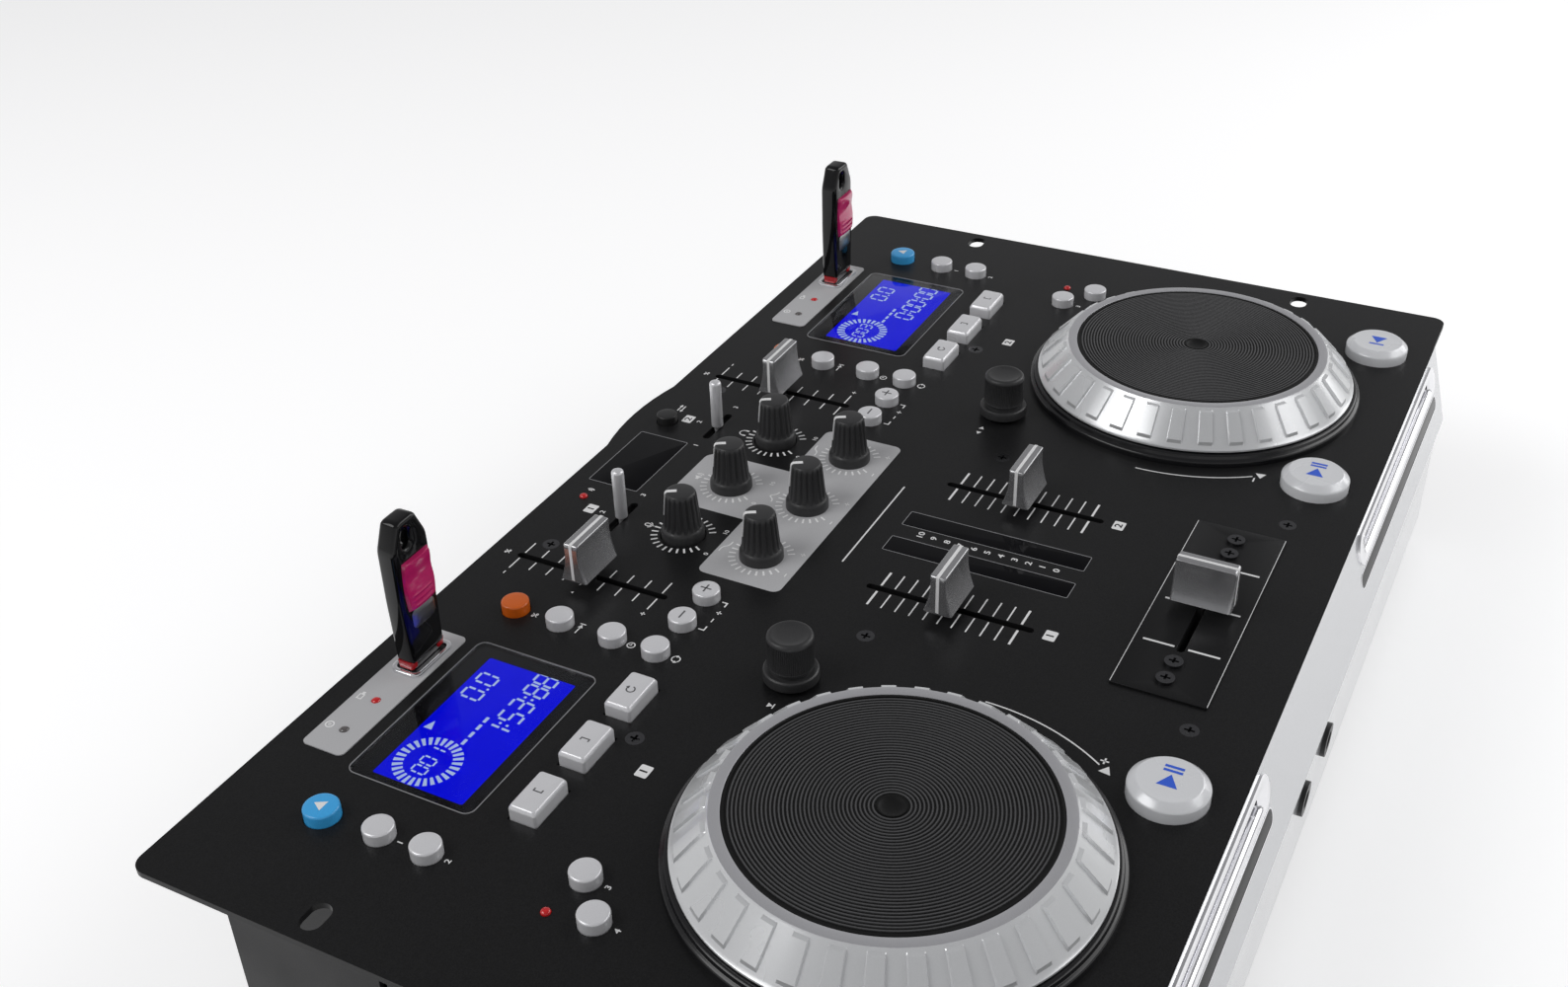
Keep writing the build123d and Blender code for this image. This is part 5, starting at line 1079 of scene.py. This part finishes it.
def fader_scales():
    """Short lines on both sides of each fader, and the numbers between the channel faders."""
    marks = []
    for d in DECKS:
        s = SIDE[d]
        x, y = node_middle(f"pitch_cap_{d}")
        for k in range(9):
            at = y + 28.2 - 6.93 * k
            reach = 8.1 if k in (0, 8) else 6.3
            out = (1.7 + reach) / 2
            marks.append(bars([(x - out, at), (x + out, at)], (reach - 1.7, THIN), FACE))
        out = x + s * 10.8
        marks += [minus_sign(out, y + 28.2, 1.5, 0.4, FACE), triangle(out, y + 0.5, 0.6, 90, FACE),
                  plus_sign(out, y - 27.2, 1.7, 0.4, FACE)]
        x, y = node_middle(f"channel_cap_{d}")
        for k in range(11):
            at = y + 25.0 - 4.98 * k
            wide = 0.8 if k in (0, 10) else THIN
            marks.append(bars([(x - 5.75, at), (x + 5.75, at)], (8.0, wide), FACE))
    for k in range(11):
        marks.append(figures(str(10 - k), 0.0, y + 25.0 - 4.98 * k, 2.3, FACE, wide=1.3))
    x, y = node_middle("crossfader_plate")
    top = node_top("crossfader_plate")
    for dx in (-24, 0, 24):
        marks.append(bars([(x + dx, y + 7.3), (x + dx, y - 7.3)], (0.85, 10.2), top))
    return marks


def knob_scales():
    """Twenty-three short lines round each knob, signs at both ends, and a small picture above."""
    marks = []
    angle = np.radians(np.linspace(-149, 149, 23)) + TURN / 4
    for name in KNOBS:
        x, y = node_middle(f"knob_{name}")
        top = FACE if name in ("mic", "phones") else FACE + PLATE_PROUD
        heading = np.stack([np.cos(angle), np.sin(angle)], -1)
        across = np.stack([-heading[:, 1], heading[:, 0]], -1) * FINE / 2
        start, end = 9.1 * heading, 11.6 * heading
        corners = np.stack([start - across, end - across, end + across, start + across], 1)
        marks.append(prisms(corners + (x, y), *prints_on(top)))
        if name in ("mic", "master", "phones"):
            marks += [figures("0", x - 7.0, y - 13.2, 1.7, top),
                      figures("10", x + 7.4, y - 13.2, 1.7, top)]
        else:
            marks += [minus_sign(x - 6.6, y - 12.7, 1.7, 0.4, top),
                      plus_sign(x + 6.6, y - 12.7, 1.8, 0.4, top)]
        marks += knob_picture(name, x, y + 14.0, top)
    return marks


def knob_picture(name, x, y, top):
    """A microphone, a loudspeaker, headphones, or a tone curve that is raised low, in the middle or
    high."""
    if name == "mic":
        head = stroke(outline(0.75, 1.1, 0.74) + (x, y + 0.5), 0.38, *prints_on(top), closed=True)
        return [head, line(arc((x, y + 0.3), 1.5, 190, 350), 0.35, top),
                bars([(x, y - 1.7)], (0.35, 0.9), top)]
    if name == "master":
        horn = np.array([(-1.5, -0.6), (-0.6, -0.6), (0.5, -1.5), (0.5, 1.5), (-0.6, 0.6), (-1.5, 0.6)])
        horn = prisms([horn + (x, y)], *prints_on(top))
        return [horn] + [line(arc((x + 0.4, y), radius, -45, 45), 0.35, top) for radius in (1.2, 2.0)]
    if name == "phones":
        cups = bars([(x - 1.7, y - 0.9), (x + 1.7, y - 0.9)], (0.8, 1.5), top)
        return [line(arc((x, y - 0.3), 1.7, 0, 180), 0.4, top), cups]
    t = np.linspace(-1, 1, 25)
    curve = {"low": 1 / (1 + np.exp(7 * t)), "high": 1 / (1 + np.exp(-7 * t)),
             "mid": np.exp(-(t / 0.4) ** 2)}[name]
    return [line(np.stack([x + 3.4 * t, y - 1.0 + 2.0 * curve], -1), 0.45, top)]


def label_plate():
    """The grey print behind the knobs: a broad rounded field with a narrower one behind its middle."""
    x_low, y_low = node_middle("knob_mid")
    x_up, y_up = node_middle("knob_master")
    broad = outline(51.0, 15.7, 3.0, 8) + (x_low - 0.85, y_low + 0.6)
    narrow = [(x_up - 17.75, y_low + 10), (x_up + 17.5, y_low + 10), (x_up + 17.5, y_up + 15.7),
              (x_up + 14.5, y_up + 18.7), (x_up - 14.75, y_up + 18.7), (x_up - 17.75, y_up + 15.7)]
    low, high = FACE - 0.3, FACE + PLATE_PROUD
    upper = prisms([rounded_path(narrow, 1.6)], low, high)
    return [prisms([broad], low, high - 0.006), upper]


def deck_signs():
    """Lever numbers, direction arcs, brackets, and small pictures in front of the keys."""
    marks = []
    for d in DECKS:
        s = SIDE[d]
        jx, jy = node_middle(f"jog_disc_{d}")
        lx, ly = node_middle(f"source_lever_{d}")
        for text, dx, dy in (("1", -15.8, 0.5), ("2", 0, 8.0), ("3", 15.8, 0.5)):
            marks.append(figures(text, lx + dx, ly + dy, 2.0, FACE))
        # the arc beside the wheel's front inner quarter ends in an arrow head and a sign
        sweep = (jx, jy) + arc((0, 0), 70.5, 0.6, -34.0, 40) * (-s, 1)
        tip = (jx, jy) + arc((0, 0), 70.5, -36.5, -36.5, 1)[0] * (-s, 1)
        marks.append(line(sweep if s < 0 else sweep[::-1], 0.5, FACE))
        marks.append(triangle(tip[0], tip[1], 2.2, -128 if s < 0 else -52, FACE))
        sign = plus_sign if s < 0 else minus_sign
        marks.append(sign(tip[0] - s * 3.9, tip[1] + 1.6, 2.6, 0.55, FACE))
        marks += key_pictures(d)
    return marks


def deck_marks():
    """Pale boxes with the deck's number in them: beside the wheel, the lever and the channel fader."""
    boxes, numbers = [], []
    for d in DECKS:
        jog, lever, fader = (node_middle(n + d) for n in ("jog_disc_", "source_lever_", "channel_cap_"))
        for x, y in ((jog[0] + SIDE[d] * 1.6, 25.4), (lever[0], lever[1] + 13.0),
                     (fader[0], fader[1] - 35.2)):
            boxes.append(outline(2.6, 2.05, 0.5, 4) + (x, y))
            numbers.append(figures(str(1 + DECKS.index(d)), x, y, 2.7, FACE + 0.05, wide=1.35, ink=0.03))
    return prisms(boxes, *prints_on(FACE)), joined(*numbers)


def key_pictures(d):
    """Small plain pictures where the keys need telling apart."""
    s = SIDE[d]
    marks = []
    drop = 7.6
    px, py = node_middle(f"pitch_button_{d}")
    marks.append(figures("%", px, py - drop, 2.1, FACE))
    fx, fy = node_middle(f"pitch_cap_{d}")
    marks.append(figures("%", fx, fy + 34.2, 2.1, FACE))
    single, clock, again = sorted((middle(b) for b in solids(f"mode_buttons_{d}")), key=lambda p: -p[1])
    x, y = single[0], single[1] - drop + 0.4
    marks += [line([(x - 2.4, y), (x + 1.0, y)], 0.42, FACE), triangle(x + 1.2, y, 1.1, 0, FACE),
              bars([(x + 2.7, y)], (0.42, 2.2), FACE)]
    x, y = clock[0], clock[1] - drop + 0.6
    marks += [line(arc((x, y), 1.3, 0, 345, 24), 0.38, FACE, closed=True),
              line([(x, y + 0.8), (x, y), (x + 0.7, y)], 0.36, FACE)]
    x, y = again[0], again[1] - drop + 0.2
    marks += [line(arc((x, y), 1.4, 40, 180), 0.4, FACE), line(arc((x, y), 1.4, 220, 360), 0.4, FACE),
              triangle(x - 1.4, y - 0.3, 0.75, -90, FACE), triangle(x + 1.4, y + 0.3, 0.75, 90, FACE)]
    # brackets join the two bend keys
    near, far = sorted((middle(b) for b in solids(f"bend_buttons_{d}")), key=lambda p: abs(p[0]))
    for (x, y), inward in ((near, s), (far, -s)):
        marks.append(line([(x, y - 5.9), (x, y - 7.9), (x + inward * 2.2, y - 7.9)], THIN, FACE))
    x, y = (near[0] + far[0]) / 2, near[1] - 7.9
    marks += [minus_sign(x - 2.2, y, 1.9, 0.42, FACE), plus_sign(x + 2.2, y, 1.9, 0.42, FACE)]
    # an arrow that says push, and two that say turn, beside the browse knob
    x, y = node_middle(f"encoder_knob_{d}")
    push_x, turn_x = x + s * 14.0, x - s * 15.0
    marks += [triangle(push_x, y + 0.4, 1.2, -90, FACE), bars([(push_x, y - 1.0)], (2.2, 0.42), FACE),
              triangle(turn_x - 1.7, y + 3.4, 1.2, 180, FACE),
              triangle(turn_x + 1.7, y + 3.4, 1.2, 0, FACE)]
    for k, box in enumerate(sorted(solids(f"outer_buttons_{d}"), key=lambda b: -middle(b)[1])):
        x, y = middle(box)
        marks.append(figures(str(k + 1), x, y - drop + 0.4, 1.9, FACE))
    return marks


def small_signs():
    """Signs on the USB plates and round the sync key: a disc, a plug, waves and two arrows."""
    marks = []
    for plate in solids("usb_plates"):
        x, y = middle(plate)
        top = plate[1][2]
        disc_x, plug_x, row = x - 21.4, x - 6.3, y + 5.0
        marks += [line(arc((disc_x, row), 1.3, 0, 345, 24), 0.45, top, closed=True),
                  line(arc((disc_x, row), 0.4, 0, 330, 12), 0.25, top, closed=True),
                  line([(plug_x - 1.6, row - 0.8), (plug_x + 0.5, row - 0.8), (plug_x + 0.5, row + 0.8),
                        (plug_x - 1.6, row + 0.8)], 0.4, top, closed=True),
                  bars([(plug_x + 1.2, row)], (1.0, 1.0), top)]
    x, y = node_middle("sync_button")
    marks += [line([(x + 8.6, y + 0.6), (x + 12.0, y + 0.6)], THIN, FACE),
              triangle(x + 12.4, y + 0.6, 0.9, 0, FACE),
              line([(x + 9.4, y - 0.9), (x + 12.8, y - 0.9)], THIN, FACE),
              triangle(x + 9.0, y - 0.9, 0.9, 180, FACE)]
    for radius in (1.0, 1.9):
        marks.append(line(arc((-25.6, 122.3), radius, -45, 45), THIN, FACE))
    marks.append(bars([(0.0, 19.2)], (52.0, 0.55), FACE))
    return marks


def panel_prints():
    """All the white print as one piece, and the grey field under part of it as another."""
    boxes, numbers = deck_marks()
    marks = fader_scales() + knob_scales() + deck_signs() + small_signs() + [boxes]
    parts = [(joined(*marks), PRINT_AND_GLINT_WHITE), (numbers, PANEL_BLACK)]
    piece("panel_print", "player", parts, weld=True)
    piece("knob_field", "player", [(joined(*label_plate()), PLATE_GREY)])


# ================================================================ stage
def studio():
    """A pale floor that keeps the shadow, a plain sky and three soft lamps. Where the camera or a
    mirror sees the floor, it shines a little, so that it is near white."""
    mesh = bpy.data.meshes.new("floor")
    mesh.from_pydata([(*corner, 0) for corner in 12.0 * SQUARE], [], [(0, 1, 2, 3)])
    floor = bpy.data.objects.new("floor", mesh)
    bpy.context.scene.collection.objects.link(floor)
    material = bpy.data.materials.new("pale_floor")
    material.use_nodes = True
    tree = material.node_tree
    tree.nodes.remove(tree.nodes["Principled BSDF"])
    matte = add_node(tree, "BsdfDiffuse", Color=(0.86, 0.86, 0.86, 1))
    glow, both = add_node(tree, "Emission"), add_node(tree, "AddShader")
    path = add_node(tree, "LightPath")
    seen, level = add_node(tree, "Math"), add_node(tree, "Math")
    seen.operation, level.operation = "MAXIMUM", "MULTIPLY"
    level.inputs[1].default_value = 0.42
    wire(tree, (path, "Is Camera Ray", seen, 0), (path, "Is Glossy Ray", seen, 1), (seen, 0, level, 0),
         (level, 0, glow, "Strength"), (matte, 0, both, 0), (glow, 0, both, 1),
         (both, 0, tree.nodes["Material Output"], "Surface"))
    mesh.materials.append(material)

    world = bpy.data.worlds.new("studio")
    bpy.context.scene.world = world
    world.use_nodes = True
    tree = world.node_tree
    background = tree.nodes["Background"]
    place, parts, path = (add_node(tree, kind) for kind in ("TexCoord", "SeparateXYZ", "LightPath"))
    sky = ramp(tree, (0.0, (1, 1, 1)), (1.0, (0.30, 0.30, 0.31)), (0.32, (0.55, 0.55, 0.56)))
    level = add_node(tree, "MapRange", To_Min=0.75, To_Max=1.0)
    wire(tree, (place, "Generated", parts, 0), (parts, "Z", sky, "Fac"),
         (sky, "Color", background, "Color"), (path, "Is Camera Ray", level, "Value"),
         (level, "Result", background, "Strength"))

    lamps = {
        "lamp_key": ((-0.75, 0.75, 1.15), (0.9, 0.7), 7.0),
        "lamp_fill": ((0.55, -1.0, 1.0), (1.0, 0.6), 3.2),
        "lamp_side": ((1.05, -0.6, 0.7), (0.5, 0.9), 3.2),
    }
    for name, (spot, size, power) in lamps.items():
        lamp = bpy.data.lights.new(name, "AREA")
        lamp.shape = "RECTANGLE"
        lamp.size, lamp.size_y, lamp.energy = size[0], size[1], power
        obj = bpy.data.objects.new(name, lamp)
        obj.location = spot
        obj.rotation_euler = (Vector((0, 0, 0.09)) - Vector(spot)).to_track_quat("-Z", "Y").to_euler()
        bpy.context.scene.collection.objects.link(obj)


def camera():
    """The photograph's camera, from its place, its three directions and its lens."""
    data = bpy.data.cameras.new("camera")
    data.lens, data.sensor_width = 39.083, 36.0
    data.shift_x, data.shift_y = -0.00035, 0.0028
    right = Vector((0.46073999, -0.88712919, -0.02684147))
    down = Vector((-0.49568014, -0.23211465, -0.83691337))
    ahead = Vector((0.73621998, 0.39890424, -0.54667682))
    turn = Matrix((right, -down, -ahead)).transposed()
    obj = bpy.data.objects.new("camera", data)
    obj.matrix_world = Matrix.Translation((-0.45295, -0.19046, 0.42902)) @ turn.to_4x4()
    bpy.context.scene.collection.objects.link(obj)
    bpy.context.scene.camera = obj


# ================================================================ making it all
camera()
dress_nodes()
make_keys()
for knob_name in KNOBS:
    knob(knob_name)
for deck_name in DECKS:
    browse_knob(deck_name)
    source_lever(deck_name)
    fader_cap(f"pitch_cap_{deck_name}", "y")
    fader_cap(f"channel_cap_{deck_name}", "y")
    jog_ring(deck_name)
    jog_disc(deck_name)
    flash_drive(deck_name)
fader_cap("crossfader_cap", "x")
jog_bases()
displays()
smoked_windows()
usb_sockets()
status_leds()
crossfader_plate()
slot_trims()
rear_sockets()
panel_prints()
studio()
bpy.context.scene.view_settings.view_transform = "Standard"
